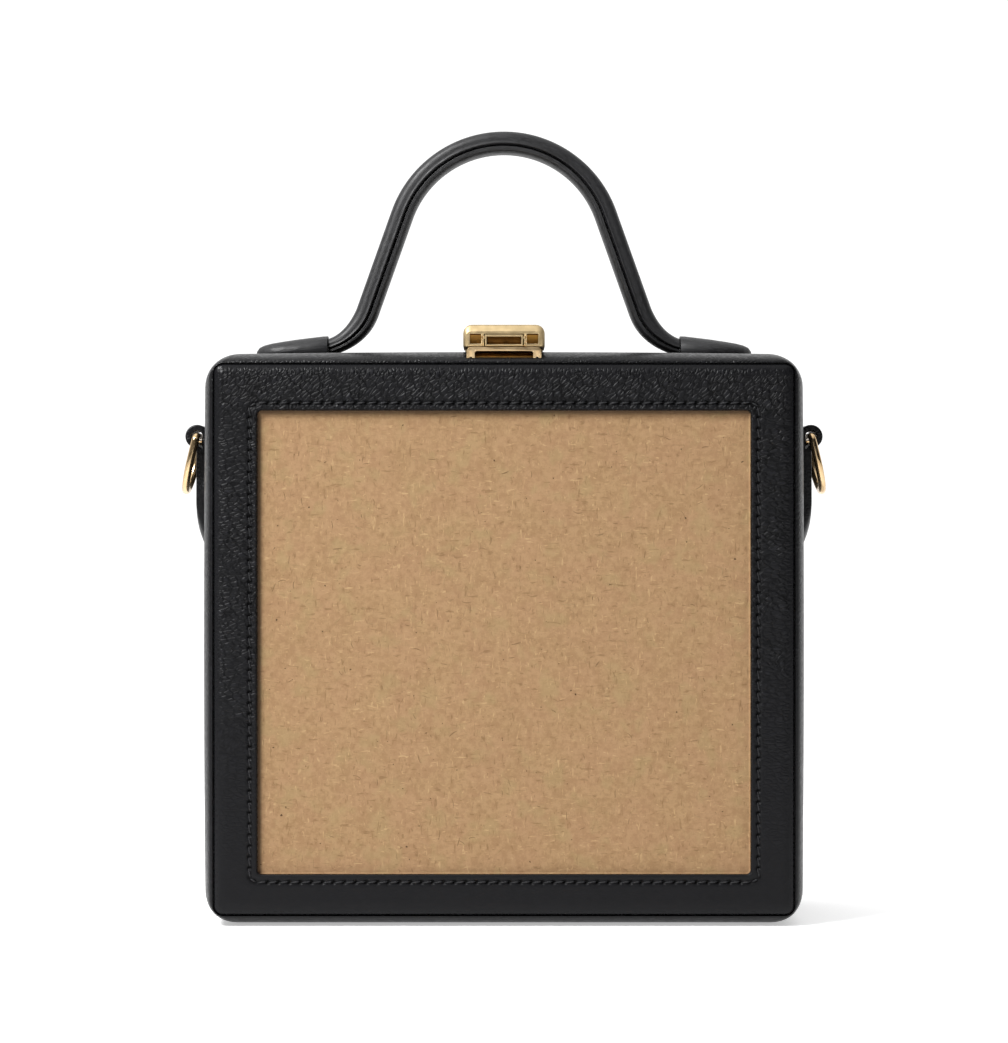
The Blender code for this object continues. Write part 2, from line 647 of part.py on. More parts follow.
def clasp_housing(material):
    """The cast cover of the clasp: it stands on the body and reaches forward over the keeper."""
    half = HOUSING_WIDTH / 2
    under, floor, axis = clasp_levels()
    high = top_surface(0.0) + GAP + HOUSING_HEIGHT + KEEPER_PLATE
    near = FRONT + KEEPER_SETBACK + HOUSING_SETBACK
    far = SPLIT + HOUSING_SEAT
    lintel = floor + RECESS_HEIGHT + 0.25 * (high - floor - RECESS_HEIGHT)
    bevel = high - lintel
    rings = [
        housing_ring(near, half - 0.35 * bevel, under, lintel, 0.6 * HOUSING_CORNER),
        housing_ring(near + 0.45 * bevel, half - 0.1 * bevel, under, high - 0.4 * bevel, 0.85 * HOUSING_CORNER),
        housing_ring(near + 0.62 * bevel, half, under, high - 0.16 * bevel, 0.95 * HOUSING_CORNER),
        housing_ring(near + 0.95 * bevel, half, under, high, HOUSING_CORNER),
        housing_ring(far - 0.6 * bevel, half, under, high, HOUSING_CORNER),
        housing_ring(far - 0.2 * bevel, half - 0.05 * bevel, under, high - 0.25 * bevel, 0.9 * HOUSING_CORNER),
        housing_ring(far, half - 0.2 * bevel, under, high - 0.7 * bevel, 0.7 * HOUSING_CORNER),
    ]
    housing = loft("clasp_housing", rings, material)
    foot_low = (-half + 0.2 * bevel, SPLIT + SPLIT_GAP + GAP, top_surface(0.0) + GAP)
    foot_high = (half - 0.2 * bevel, far - 0.2 * bevel, under + 0.5 * HOUSING_FLANGE)
    combine(housing, block("housing_foot", foot_low, foot_high, material), "UNION")
    cell_inner = LEVER_WIDTH / 2 + GAP + CHEEK
    ceiling = floor + RECESS_HEIGHT
    for side in (-1, 1):
        span = sorted((side * cell_inner, side * RECESS_WIDTH / 2))
        low = (span[0], near - RECESS_DEPTH, floor)
        cell = block("recess_cell", low, (span[1], near + RECESS_DEPTH, ceiling), material)
        combine(housing, cell, "DIFFERENCE")
    reach = LEVER_WIDTH / 2 + GAP
    low = (-reach, near - RECESS_DEPTH, under - HOUSING_FLANGE)
    well = block("lever_well", low, (reach, near + RECESS_DEPTH, ceiling), material)
    combine(housing, well, "DIFFERENCE")
    eye = disc(lever_axis_y(), axis, TRUNNION_RADIUS + GAP / 2)
    span = (-reach - 1.5 * CHEEK, reach + 1.5 * CHEEK)
    combine(housing, prism("trunnion_eye", eye, span, material), "DIFFERENCE")
    return housing


def lever_axis_y():
    """Where the lever turns, across the bag."""
    return FRONT + KEEPER_SETBACK + HOUSING_SETBACK + LEVER_THICKNESS / 2 - HOUSING_SETBACK / 2


def clasp_lever(material):
    """The small lever: a plate with a round upper end, a dished front and two trunnions."""
    low, _, axis = clasp_levels()
    half = LEVER_THICKNESS / 2
    axis_y = lever_axis_y()
    profile = [(axis_y - half, low + GAP), (axis_y - half + GAP, low), (axis_y + half, low)]
    steps = 6
    for i in range(steps + 1):
        turn = math.pi * i / steps
        profile.append((axis_y + half * math.cos(turn), axis + half * math.sin(turn)))
    reach = LEVER_WIDTH / 2
    lever = prism("clasp_lever", profile, (-reach, reach), material)
    dish_low = (-reach + LEVER_BORDER, axis_y - 2 * LEVER_THICKNESS, low + LEVER_BORDER)
    dish_high = (reach - LEVER_BORDER, axis_y - half + LEVER_DISH, axis + half - LEVER_BORDER)
    combine(lever, block("lever_dish", dish_low, dish_high, material), "DIFFERENCE")
    trunnion = disc(axis_y, axis, TRUNNION_RADIUS)
    span = (-reach - TRUNNION_LENGTH, reach + TRUNNION_LENGTH)
    return combine(lever, prism("trunnion", trunnion, span, material), "UNION")


def build():
    clear_scene()
    leather = finish("black_grained_leather", (0.018, 0.018, 0.019), 0.45)
    kraft = finish("tan_fibre_sheet", (0.50, 0.33, 0.17), 0.85)
    metal = finish("pale_gold_metal", (0.80, 0.60, 0.30), 0.22, 1.0)
    lid_shell(leather)
    front_frame(leather)
    front_sheet(kraft)
    tray("body_shell", BACK, SPLIT + SPLIT_GAP / 2, leather)
    back_panel(leather)
    hinge_leaf("hinge_leaf_lid", -1, 1, metal)
    hinge_leaf("hinge_leaf_body", 1, 0, metal)
    roll, strip = handle_sections()
    sweep_handle("handle_roll", roll, leather)
    sweep_handle("handle_strip", strip, leather)
    for word, side in (("left", -1), ("right", 1)):
        handle_mount("handle_mount_" + word, side, leather)
        ring_tab("ring_tab_" + word, side, leather)
        d_ring("d_ring_" + word, side, metal)
    clasp_keeper(metal)
    clasp_housing(metal)
    clasp_lever(metal)


build()
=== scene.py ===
import math
import random

import bmesh
import bpy
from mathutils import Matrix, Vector, noise
from mathutils.kdtree import KDTree


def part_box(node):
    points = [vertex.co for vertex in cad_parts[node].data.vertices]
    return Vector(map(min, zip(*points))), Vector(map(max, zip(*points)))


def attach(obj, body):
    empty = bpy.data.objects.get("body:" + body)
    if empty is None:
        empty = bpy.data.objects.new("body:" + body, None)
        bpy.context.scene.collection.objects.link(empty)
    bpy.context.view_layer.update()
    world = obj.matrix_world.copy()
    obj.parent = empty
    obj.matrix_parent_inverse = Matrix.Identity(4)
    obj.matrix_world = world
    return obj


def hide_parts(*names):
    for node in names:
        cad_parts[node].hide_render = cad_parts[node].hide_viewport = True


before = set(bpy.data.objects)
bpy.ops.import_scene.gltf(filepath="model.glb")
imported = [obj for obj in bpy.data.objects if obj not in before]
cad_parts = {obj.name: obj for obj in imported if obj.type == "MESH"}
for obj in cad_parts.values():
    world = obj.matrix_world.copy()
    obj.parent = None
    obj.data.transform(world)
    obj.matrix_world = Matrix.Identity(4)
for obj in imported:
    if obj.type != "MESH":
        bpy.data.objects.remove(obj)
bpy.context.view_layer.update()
random.seed(7)
mm = 0.001

# Sizes that every piece shares: the camera stands level, a metre in front of the bag.
camera = {
    "distance": 1.038, "height": 0.1288, "focalPixels": 3150.0, "longSidePixels": 1043.0, "sensor": 36.0,
}
box = {
    "lidDepth": 18.0 * mm, "height": 182.6 * mm, "width": 192.0 * mm, "corner": 11.2 * mm,
    "wall": 2.8 * mm, "topBulge": 0.8 * mm, "sideBulge": 0.5 * mm, "shoulderRise": 3.7 * mm,
    "shoulderDepth": 14.8 * mm, "noseDepth": 1.1 * mm, "groove": 0.35 * mm, "splitGap": 0.4 * mm,
    "panelCorner": 2.7 * mm, "panelThickness": 3.4 * mm, "board": 2.0 * mm, "gap": 0.3 * mm,
}
coarseSteps = {"corner": 6, "level": 60, "upright": 56}
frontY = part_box("front_frame")[0].y
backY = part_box("back_panel")[1].y
splitY = frontY + box["lidDepth"]
panelHalf = box["width"] / 2 - box["shoulderRise"]
panelLow = box["shoulderRise"]
panelHigh = box["height"] - box["shoulderRise"]


def hexColour(code):
    channels = [int(code[i:i + 2], 16) / 255 for i in (0, 2, 4)]
    return tuple(c / 12.92 if c <= 0.04045 else ((c + 0.055) / 1.055) ** 2.4 for c in channels) + (1.0,)


# Adds one node: values go to its sockets, links come from other nodes, and settings are its own fields.
def addNode(tree, kind, values=None, links=None, **settings):
    node = tree.nodes.new("ShaderNode" + kind)
    for field, value in settings.items():
        setattr(node, field, value)
    for socket, value in (values or {}).items():
        node.inputs[socket].default_value = value
    for socket, source in (links or {}).items():
        tree.links.new(source, node.inputs[socket])
    return node


def newMaterial(name, **values):
    material = bpy.data.materials.new(name)
    material.use_nodes = True
    tree = material.node_tree
    shader = tree.nodes["Principled BSDF"]
    for socket, value in values.items():
        shader.inputs[socket.replace("_", " ")].default_value = value
    return material, tree, shader


def maths(tree, operation, first, second, clamp=False):
    values, links = {}, {}
    for i, item in enumerate((first, second)):
        if isinstance(item, (int, float)):
            values[i] = item
        else:
            links[i] = item
    return addNode(tree, "Math", values, links, operation=operation, use_clamp=clamp).outputs[0]


def remap(tree, source, low, high, newLow=0.0, newHigh=1.0):
    values = {"From Min": low, "From Max": high, "To Min": newLow, "To Max": newHigh}
    return addNode(tree, "MapRange", values, {"Value": source}, interpolation_type="SMOOTHSTEP").outputs[0]


def blendColour(tree, factor, first, second):
    node = addNode(tree, "Mix", data_type="RGBA")
    tree.links.new(factor, node.inputs[0])
    for i, colour in ((6, first), (7, second)):
        if isinstance(colour, tuple):
            node.inputs[i].default_value = colour
        else:
            tree.links.new(colour, node.inputs[i])
    return node.outputs[2]


def noiseOf(tree, coords, pitch, detail=2.0, rough=0.5, distortion=0.0):
    values = {"Scale": 1 / pitch, "Detail": detail, "Roughness": rough, "Distortion": distortion}
    return addNode(tree, "TexNoise", values, {"Vector": coords}).outputs[0]


def blendValue(tree, factor, first, second):
    return addNode(tree, "Mix", links={0: factor, 2: first, 3: second}).outputs[0]


# The grain's pebbles with narrow valleys between them, drawn out along a line that slants by some degrees.
def pebbleField(tree, place, look, slant):
    turn = {"Scale": (look["drawnOut"], 1.0, 1.0), "Rotation": (0.0, 0.0, math.radians(slant))}
    turned = addNode(tree, "Mapping", turn, {"Vector": place}, vector_type="TEXTURE").outputs[0]
    cells = addNode(tree, "TexVoronoi", {"Scale": 1 / look["pebblePitch"]}, {"Vector": turned},
                    feature="DISTANCE_TO_EDGE").outputs["Distance"]
    swell = noiseOf(tree, turned, look["swellPitch"], 1.0)
    return remap(tree, cells, 0.0, look["valleyWidth"]), swell


# Where the grain lies: along a piece's own lengths, on the plane of the bag's front, or through the object.
def grainPlace(tree, plane):
    if plane == "piece":
        return addNode(tree, "TexCoord").outputs["UV"]
    source = addNode(tree, "TexCoord").outputs["Object"]
    if plane == "object":
        return source
    parts = addNode(tree, "SeparateXYZ", links={0: source}).outputs
    return addNode(tree, "CombineXYZ", links={0: parts["X"], 1: parts["Z"], 2: parts["Y"]}).outputs[0]


# Raises a material's surface by a height pattern.
def addRelief(tree, shader, height, strength, depth):
    bump = addNode(tree, "Bump", {"Strength": strength, "Distance": depth}, {"Height": height})
    tree.links.new(bump.outputs[0], shader.inputs["Normal"])


# Black box calf: soft pebbles, faintly worn on top, with painted shade darkening the valleys between them.
# They lie level on the sides, slant high on the panel and stand upright at its top edge. It gives the eye a
# soft, broken shine that fades to nearly smooth low down. Round a stitch's hole the leather is dull and
# painted dark as shade.
def grainedLeather(name, look):
    material, tree, shader = newMaterial(name, Specular_IOR_Level=look["specular"])
    source = grainPlace(tree, look["plane"])
    swirlValues = {"Scale": 1 / look["swirlPitch"], "Detail": 1.0}
    swirl = addNode(tree, "TexNoise", swirlValues, {"Vector": source}).outputs["Color"]
    shift = addNode(tree, "VectorMath", {1: (0.5, 0.5, 0.5)}, {0: swirl}, operation="SUBTRACT").outputs[0]
    bent = addNode(tree, "VectorMath", {1: (look["swirl"],) * 3}, {0: shift, 2: source},
                   operation="MULTIPLY_ADD").outputs[0]
    whole = addNode(tree, "SeparateXYZ", links={0: addNode(tree, "TexCoord").outputs["Object"]}).outputs
    up = whole["Z"]
    level, slanting, upright = [pebbleField(tree, bent, look, slant) for slant in look["slants"]]
    spread = maths(tree, "ADD", noiseOf(tree, source, look["slantPitch"], 1.0),
                   remap(tree, up, look["slantFrom"], look["slantTo"], *look["slantShift"]))
    slants = remap(tree, spread, *look["slantBlend"])
    atEdge = remap(tree, up, look["edgeFrom"], look["edgeTo"])
    pebble, swell = [blendValue(tree, atEdge, blendValue(tree, slants, level[i], slanting[i]), upright[i])
                     for i in (0, 1)]
    fine = noiseOf(tree, source, look["finePitch"], 2.0, 0.6)
    patch = noiseOf(tree, source, look["patchPitch"], 1.0)
    patch = remap(tree, patch, *look["patchBlend"], look["calm"], 1.0)
    lift = remap(tree, up, look["calmBelow"], look["livelyAbove"], look["calmShare"], 1.0)
    offRim = remap(tree, whole["Y"], look["rimFrom"], look["rimTo"], 1.0, look["rimShare"])
    lively = maths(tree, "MULTIPLY", maths(tree, "MULTIPLY", patch, lift), offRim)
    height = maths(tree, "ADD", maths(tree, "MULTIPLY", pebble, look["pebbleDepth"]),
                   maths(tree, "MULTIPLY", swell, look["swellDepth"]))
    height = maths(tree, "ADD", maths(tree, "MULTIPLY", height, lively),
                   maths(tree, "MULTIPLY", fine, look["fineDepth"]))
    addRelief(tree, shader, height, 1.0, look["reliefDepth"])
    pit = addNode(tree, "Attribute", attribute_name="pit").outputs["Fac"]
    # Painted shade: the valleys between the pebbles are darkened, less so where the grain is calm.
    valleyShade = maths(tree, "MULTIPLY", maths(tree, "SUBTRACT", 1.0, pebble), lively)
    worn = maths(tree, "MULTIPLY", remap(tree, swell, *look["wornBlend"], 0.0, look["wornShare"]), lively)
    tone = blendColour(tree, worn, hexColour(look["colour"]), hexColour(look["worn"]))
    tone = blendColour(tree, valleyShade, tone, hexColour(look["valleyShade"]))
    # Painted shade: round each stitch hole the leather is darkened nearly to black.
    tree.links.new(blendColour(tree, pit, tone, hexColour(look["pitShadeColour"])), shader.inputs["Base Color"])
    rough, vary = look["roughness"], look["roughnessVaries"]
    shine = remap(tree, swell, *look["shineBlend"], rough + vary, rough - vary)
    rimGloss = maths(tree, "MULTIPLY", maths(tree, "SUBTRACT", 1.0, offRim), look["rimGloss"])
    shine = maths(tree, "SUBTRACT", shine, rimGloss)
    shine = maths(tree, "ADD", shine, maths(tree, "MULTIPLY", pit, look["pitRoughness"]), True)
    tree.links.new(shine, shader.inputs["Roughness"])
    return material


# Each look's rim lies between two depths from front to back, and has that share of the grain.
calfLook = {
    "plane": "object", "colour": "0c0c0e", "worn": "1e1e22", "wornShare": 0.6, "wornBlend": (0.52, 0.72),
    # The valley and pit colours are painted shade in the grain's valleys and round the stitch holes.
    "valleyShade": "040405", "pitShadeColour": "010101", "pitRoughness": 0.3,
    "drawnOut": 1.5, "slants": (0.0, 45.0, 90.0), "slantPitch": 13.5 * mm, "slantFrom": 0.156,
    "slantTo": 0.166, "slantShift": (-0.15, 0.3), "slantBlend": (0.48, 0.58), "edgeFrom": 0.1745,
    "edgeTo": 0.1765, "swirl": 0.7 * mm, "swirlPitch": 2.4 * mm,
    "rimFrom": 1.0, "rimTo": 2.0, "rimShare": 1.0, "rimGloss": 0.2,
    "pebblePitch": 1.2 * mm, "valleyWidth": 0.28, "pebbleDepth": 0.6, "swellPitch": 1.5 * mm,
    "swellDepth": 0.8, "finePitch": 0.3 * mm, "fineDepth": 0.06, "reliefDepth": 0.14 * mm,
    "patchPitch": 9 * mm, "patchBlend": (0.38, 0.62), "calm": 0.4, "calmBelow": 0.02, "livelyAbove": 0.16,
    "calmShare": 0.4, "roughness": 0.37, "roughnessVaries": 0.05, "shineBlend": (0.3, 0.7), "specular": 0.20,
}
caseLeather = grainedLeather("boxCalfLeather", calfLook)
# The frame's skin is stretched over its members: its grain is livelier, drawn out more, and calm at the rim.
frameLeather = grainedLeather("boxCalfLeatherFrame", {
    **calfLook, "plane": "front", "drawnOut": 2.1, "slants": (2.0, 44.0, 84.0), "calmBelow": 0.0,
    "livelyAbove": 0.120, "calmShare": 0.05, "swellPitch": 1.2 * mm, "calm": 0.65,
    "reliefDepth": 0.36 * mm, "roughness": 0.45, "specular": 0.12, "fineDepth": 0.015,
    "colour": "131315", "worn": "222226", "valleyShade": "050506",
    "rimFrom": frontY + 0.05 * mm, "rimTo": frontY + 0.8 * mm, "rimShare": 0.12,
})
# The handle's skin is rolled along its length, so its fine lines run that way and it has hardly any pebble.
handleLeather = grainedLeather("rolledCalfLeather", {
    **calfLook, "plane": "piece", "drawnOut": 5.0, "slants": (90.0, 84.0, 90.0), "swirl": 0.3 * mm,
    "pebblePitch": 0.7 * mm, "swellPitch": 0.8 * mm, "pebbleDepth": 0.2, "swellDepth": 0.6,
    "finePitch": 0.25 * mm, "fineDepth": 0.2, "calmShare": 1.0, "calm": 0.5, "reliefDepth": 0.10 * mm,
    "roughness": 0.50, "specular": 0.44, "colour": "1c1c1e", "worn": "303034",
})
suedeLook = {
    "napPitch": 0.5 * mm, "napStrength": 0.5, "napDepth": 0.08 * mm, "cloudPitch": 18 * mm,
    "cloudBlend": (0.3, 0.7), "dark": "1b1917", "pale": "25221f",
}


# Raw inner side of the leather, and the boards' inside: dull and nappy, so the opened bag looks soft.
def suedeInside(look):
    material, tree, shader = newMaterial("blackSuedeInside", Roughness=0.95, Specular_IOR_Level=0.15,
                                         Sheen_Weight=0.25)
    coords = addNode(tree, "TexCoord").outputs["Object"]
    nap = noiseOf(tree, coords, look["napPitch"], 3.0, 0.7)
    cloud = remap(tree, noiseOf(tree, coords, look["cloudPitch"], 2.0), *look["cloudBlend"])
    addRelief(tree, shader, nap, look["napStrength"], look["napDepth"])
    tone = blendColour(tree, cloud, hexColour(look["dark"]), hexColour(look["pale"]))
    tree.links.new(tone, shader.inputs["Base Color"])
    return material


threadLook = {"colour": "151518", "twistPitch": 0.9 * mm, "twistStrength": 0.6, "twistDepth": 0.08 * mm}


# Waxed black thread, a little glossier than the leather, with its twist as fine slanting ribs.
def waxedThread(look):
    material, tree, shader = newMaterial("waxedBlackThread", Roughness=0.5, Specular_IOR_Level=0.4)
    shader.inputs["Base Color"].default_value = hexColour(look["colour"])
    coords = addNode(tree, "TexCoord").outputs["Object"]
    values = {"Scale": 1 / look["twistPitch"], "Distortion": 0.5}
    ribs = addNode(tree, "TexWave", values, {"Vector": coords}, bands_direction="DIAGONAL").outputs["Fac"]
    addRelief(tree, shader, ribs, look["twistStrength"], look["twistDepth"])
    return material


# Dry tan sheet of pressed fibres: a soft warm mottle with a few green clouds, and in it short pale and dark
# strands that lie across and down the sheet. A few brown specks are pressed in. A painted shadow darkens it
# brown along the upper and left edges of the window, where the frame's lip shades it.
def fibreSheet(look):
    material, tree, shader = newMaterial("pressedFibreSheet", Roughness=0.88, Specular_IOR_Level=0.25)
    source = addNode(tree, "TexCoord").outputs["Object"]
    strands = []
    for stretch in look["strandStretch"]:
        coords = addNode(tree, "Mapping", {"Scale": stretch}, {"Vector": source}).outputs[0]
        strands.append(noiseOf(tree, coords, look["strandWidth"], 2.0, 0.6, 0.5))
    mottle = noiseOf(tree, source, look["mottlePitch"], 3.0, 0.6)
    blotch = noiseOf(tree, source, look["blotchPitch"], 2.0, 0.5)
    cloud = noiseOf(tree, source, look["cloudPitch"], 2.0, 0.6)
    speck = noiseOf(tree, source, look["speckPitch"], 1.0)
    lying = maths(tree, "MAXIMUM", strands[0], strands[1])
    pale = remap(tree, lying, *look["paleBlend"])
    dark = remap(tree, maths(tree, "MINIMUM", strands[0], strands[1]), *look["darkBlend"])
    tone = blendColour(tree, remap(tree, mottle, *look["mottleBlend"]), hexColour(look["low"]),
                       hexColour(look["high"]))
    place = addNode(tree, "SeparateXYZ", links={0: source}).outputs
    # How far a point lies inside the window's left and upper edges: the painted shadow of the frame's lip
    # fades over it.
    inward = maths(tree, "MINIMUM", maths(tree, "ADD", place["X"], windowHalf),
                   maths(tree, "SUBTRACT", windowHigh, place["Z"]))
    layers = [
        (remap(tree, blotch, *look["rosyBlend"], 0.0, look["rosyShare"]), "rosy"),
        (remap(tree, cloud, *look["greenBlend"], 0.0, look["greenShare"]), "green"),
        (maths(tree, "MULTIPLY", pale, look["paleShare"]), "pale"),
        (maths(tree, "MULTIPLY", dark, look["darkShare"]), "dark"),
        (remap(tree, speck, *look["speckBlend"]), "speck"),
        (remap(tree, inward, look["paintedShadowFrom"], look["paintedShadowTo"], look["paintedShadowShare"], 0.0), "paintedShadow"),
    ]
    for share, colour in layers:
        tone = blendColour(tree, share, tone, hexColour(look[colour]))
    tree.links.new(tone, shader.inputs["Base Color"])
    height = maths(tree, "ADD", lying, strands[2])
    addRelief(tree, shader, height, look["strandStrength"], look["strandDepth"])
    return material


platingLook = {
    "hazePitch": 3.0 * mm, "glossy": -0.04, "hazy": 0.06, "glossBlend": (0.3, 0.7), "toneBlend": (0.2, 0.8),
    "hairPitch": 0.25 * mm, "hairStretch": (0.05, 1.0, 1.0), "hairStrength": 0.12, "hairDepth": 0.02 * mm,
}


# Pale gold plating on cast zinc: bright, with a faint haze and hairlines from handling.
def goldPlating(name, roughness, low, high, look=platingLook):
    material, tree, shader = newMaterial(name, Metallic=1.0)
    coords = addNode(tree, "TexCoord").outputs["Object"]
    haze = noiseOf(tree, coords, look["hazePitch"], 3.0, 0.6)
    rough = remap(tree, haze, *look["glossBlend"], roughness + look["glossy"], roughness + look["hazy"])
    tree.links.new(rough, shader.inputs["Roughness"])
    tone = blendColour(tree, remap(tree, haze, *look["toneBlend"]), hexColour(low), hexColour(high))
    tree.links.new(tone, shader.inputs["Base Color"])
    lines = addNode(tree, "Mapping", {"Scale": look["hairStretch"]}, {"Vector": coords}).outputs[0]
    hair = noiseOf(tree, lines, look["hairPitch"], 1.0)
    addRelief(tree, shader, hair, look["hairStrength"], look["hairDepth"])
    return material


insideSuede = suedeInside(suedeLook)
blackThread = waxedThread(threadLook)
gold = goldPlating("paleGoldPlating", 0.43, "b8a27a", "c7b188")
keeperGold = goldPlating("paleGoldKeeper", 0.34, "d8b88a", "e6cba0")
goldWire = goldPlating("paleGoldWire", 0.17, "cbac80", "dabf97")
# The clasp's hollows get a brown, dull plating as painted shade in their recesses. The lever's dish is the
# darkest.
dullGoldAndShade = goldPlating("dullGoldHollow", 0.38, "a07838", "b98d4a")
dishShadeGold = goldPlating("dullGoldDish", 0.36, "432a0e", "5c3d19")


# A quarter turn in even steps, with both its ends, in radians.
def quarterTurn(steps):
    return [math.radians(90 * i / steps) for i in range(steps + 1)]


def placed(name, data):
    item = bpy.data.objects.new(name, data)
    bpy.context.scene.collection.objects.link(item)
    return item


def smoothed(mesh, sharpAngle=None):
    mesh.shade_smooth()
    if sharpAngle is not None:
        mesh.set_sharp_from_angle(angle=math.radians(sharpAngle))
    return mesh


def plainMesh(name, verts, faces):
    mesh = bpy.data.meshes.new(name)
    mesh.from_pydata([tuple(v) for v in verts], [], faces)
    return mesh


def meshOf(name, shape):
    mesh = bpy.data.meshes.new(name)
    shape.to_mesh(mesh)
    shape.free()
    return mesh


# Makes a skin of quads over rings of equal length, with lengths in metres as its UV map.
def skin(name, rings, joined=False, smoothAngle=40.0):
    count = len(rings[0])
    verts = [point for ring in rings for point in ring]
    middle = rings[len(rings) // 2]
    along = [0.0]
    for i in range(count):
        along.append(along[-1] + (Vector(middle[(i + 1) % count]) - Vector(middle[i])).length)
    probe = count // 8  # the point of each ring that the lengths across the rings are measured at
    across = [0.0]
    for first, second in zip(rings, rings[1:] + rings[:1]):
        across.append(across[-1] + (Vector(second[probe]) - Vector(first[probe])).length)
    faces, places = [], []
    for r in range(len(rings) if joined else len(rings) - 1):
        base, other = r * count, ((r + 1) % len(rings)) * count
        for i in range(count):
            j = (i + 1) % count
            faces.append((base + i, base + j, other + j, other + i))
            places += [(along[i], across[r]), (along[i + 1], across[r])]
            places += [(along[i + 1], across[r + 1]), (along[i], across[r + 1])]
    if not joined:
        for start in (0, len(verts) - count):
            faces.append(tuple(range(start, start + count)))
            places += [(v[0], v[2]) for v in verts[start:start + count]]
    mesh = plainMesh(name, verts, faces)
    layer = mesh.uv_layers.new(name="lengths")
    layer.data.foreach_set("uv", [c for place in places for c in place])
    shape = bmesh.new()
    shape.from_mesh(mesh)
    bmesh.ops.recalc_face_normals(shape, faces=shape.faces)
    shape.to_mesh(mesh)
    shape.free()
    return smoothed(mesh, smoothAngle)


def addPiece(name, mesh, body, materials, replacing=()):
    piece = placed(name, mesh)
    for material in materials:
        mesh.materials.append(material)
    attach(piece, body)
    if replacing:
        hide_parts(*replacing)
    return piece


# Applies a piece's modifiers, so that its mesh is what the render shows.
def settle(piece):
    bpy.context.view_layer.update()
    graph = bpy.context.evaluated_depsgraph_get()
    mesh = bpy.data.meshes.new_from_object(piece.evaluated_get(graph))
    piece.modifiers.clear()
    piece.data = mesh
    return piece


def ringOf(halfWidth, low, high, corner, y, steps, bulge=0.0):
    arcs = []
    below, above = low + corner, high - corner
    for side, z, start in ((1, below, -90), (1, above, 0), (-1, above, 90), (-1, below, 180)):
        turns = [math.radians(start + 90 * i / steps["corner"]) for i in range(steps["corner"] + 1)]
        x = side * (halfWidth - corner)
        arcs.append([(x + corner * math.cos(a), z + corner * math.sin(a)) for a in turns])
    points = []
    for i, (arc, following) in enumerate(zip(arcs, arcs[1:] + arcs[:1])):
        points += arc
        start, end = Vector(arc[-1]), Vector(following[0])
        count = steps["level"] if i % 2 else steps["upright"]
        points += [tuple(start.lerp(end, k / count)) for k in range(1, count)]
    middle, halfHeight = (low + high) / 2, (high - low) / 2
    ring = []
    for x, z in points:
        side = bulge * box["sideBulge"] * (1 - ((z - middle) / halfHeight) ** 2) * x / halfWidth
        top = bulge * box["topBulge"] * (1 - (x / halfWidth) ** 2) * (z - low) / (high - low)
        ring.append((x + side, y, z + top))
    return ring


def boxRing(outset, y, steps, corner=None, bulge=None):
    share = outset / box["shoulderRise"]
    corner = box["panelCorner"] + share * (box["corner"] - box["panelCorner"]) if corner is None else corner
    return ringOf(panelHalf + outset, panelLow - outset, panelHigh + outset, corner, y, steps,
                  share if bulge is None else bulge)


def topOfBox(x):
    return box["height"] + box["topBulge"] * (1 - (x / (box["width"] / 2)) ** 2)


def sideOfBox(z):
    half = box["height"] / 2
    return box["width"] / 2 + box["sideBulge"] * (1 - ((z - half) / half) ** 2)


# A row of thread stitches between holes. Each dips into its two holes, is thick in the middle, and leans: its
# ends stand off the row to either side by the lean.
stitchLook = {
    "radius": 0.24 * mm, "crown": 0.40 * mm, "dip": 0.36 * mm, "lean": -0.30 * mm, "short": 0.10,
    "sides": 6, "rings": 7, "crownFullness": 0.6, "endShare": 0.55, "bodyFullness": 0.4,
}


def stitches(name, runs, body, look):
    sides, rings = look["sides"], look["rings"]
    verts, faces = [], []
    for holes, outward, cross in runs:
        for start, end in zip(holes, holes[1:]):
            start = Vector(start) + cross * look["lean"]
            end = Vector(end) - cross * look["lean"]
            run = (end - start).normalized()
            side = run.cross(outward).normalized()
            base = len(verts)
            for k in range(rings):
                t = k / (rings - 1)
                bulge = math.sin(math.pi * t)
                rise = look["crown"] * bulge ** look["crownFullness"] - look["dip"]
                centre = start.lerp(end, look["short"] + (1 - 2 * look["short"]) * t) + outward * rise
                share = look["endShare"] + (1 - look["endShare"]) * bulge ** look["bodyFullness"]
                for i in range(sides):
                    turn = 2 * math.pi * i / sides
                    spoke = side * math.cos(turn) + outward * math.sin(turn)
                    verts.append(centre + spoke * look["radius"] * share)
            for k in range(rings - 1):
                for i in range(sides):
                    j = (i + 1) % sides
                    first, second = base + k * sides, base + (k + 1) * sides
                    faces.append((first + i, first + j, second + j, second + i))
            faces.append(tuple(base + i for i in reversed(range(sides))))
            faces.append(tuple(base + (rings - 1) * sides + i for i in range(sides)))
    mesh = smoothed(plainMesh(name, verts, faces))
    return addPiece(name, mesh, body, [blackThread])


def evenly(start, end, pitch):
    count = max(round((Vector(end) - Vector(start)).length / pitch), 1)
    return [Vector(start).lerp(Vector(end), i / count) for i in range(count + 1)]


print("the window frame and its stitches")
windowLook = {
    "sheetHold": 5.7 * mm, "corner": 1.4 * mm, "lip": 1.8 * mm, "edgeRadius": 0.7 * mm, "edgeSteps": 5,
    "roundWidth": 4.2 * mm, "roundDepth": 2.0 * mm, "roundSteps": 8, "flatSteps": 6,
    "bandWidth": 4.4 * mm, "bandStep": 0.27 * mm, "bandSteps": 14, "channel": 0.16 * mm,
    "channelHalf": 0.9 * mm, "stitchAt": 2.4 * mm, "pitch": 3.48 * mm, "cornerSkip": 2.2 * mm,
    "holeDepth": 0.8 * mm, "holeRadius": 0.62 * mm, "holeReach": 3, "pitShare": 1.3,
    "unevenness": 0.05 * mm, "unevenShift": 0.75,
    "longWave": 9 * mm, "shortWave": 3.5 * mm, "frontShare": 0.6,
    "steps": {"corner": 6, "level": 450, "upright": 420},
}
sheetLow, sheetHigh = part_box("front_sheet")
windowHalf = sheetHigh.x - windowLook["sheetHold"]
windowLow = sheetLow.z + windowLook["sheetHold"]
windowHigh = sheetHigh.z - windowLook["sheetHold"]
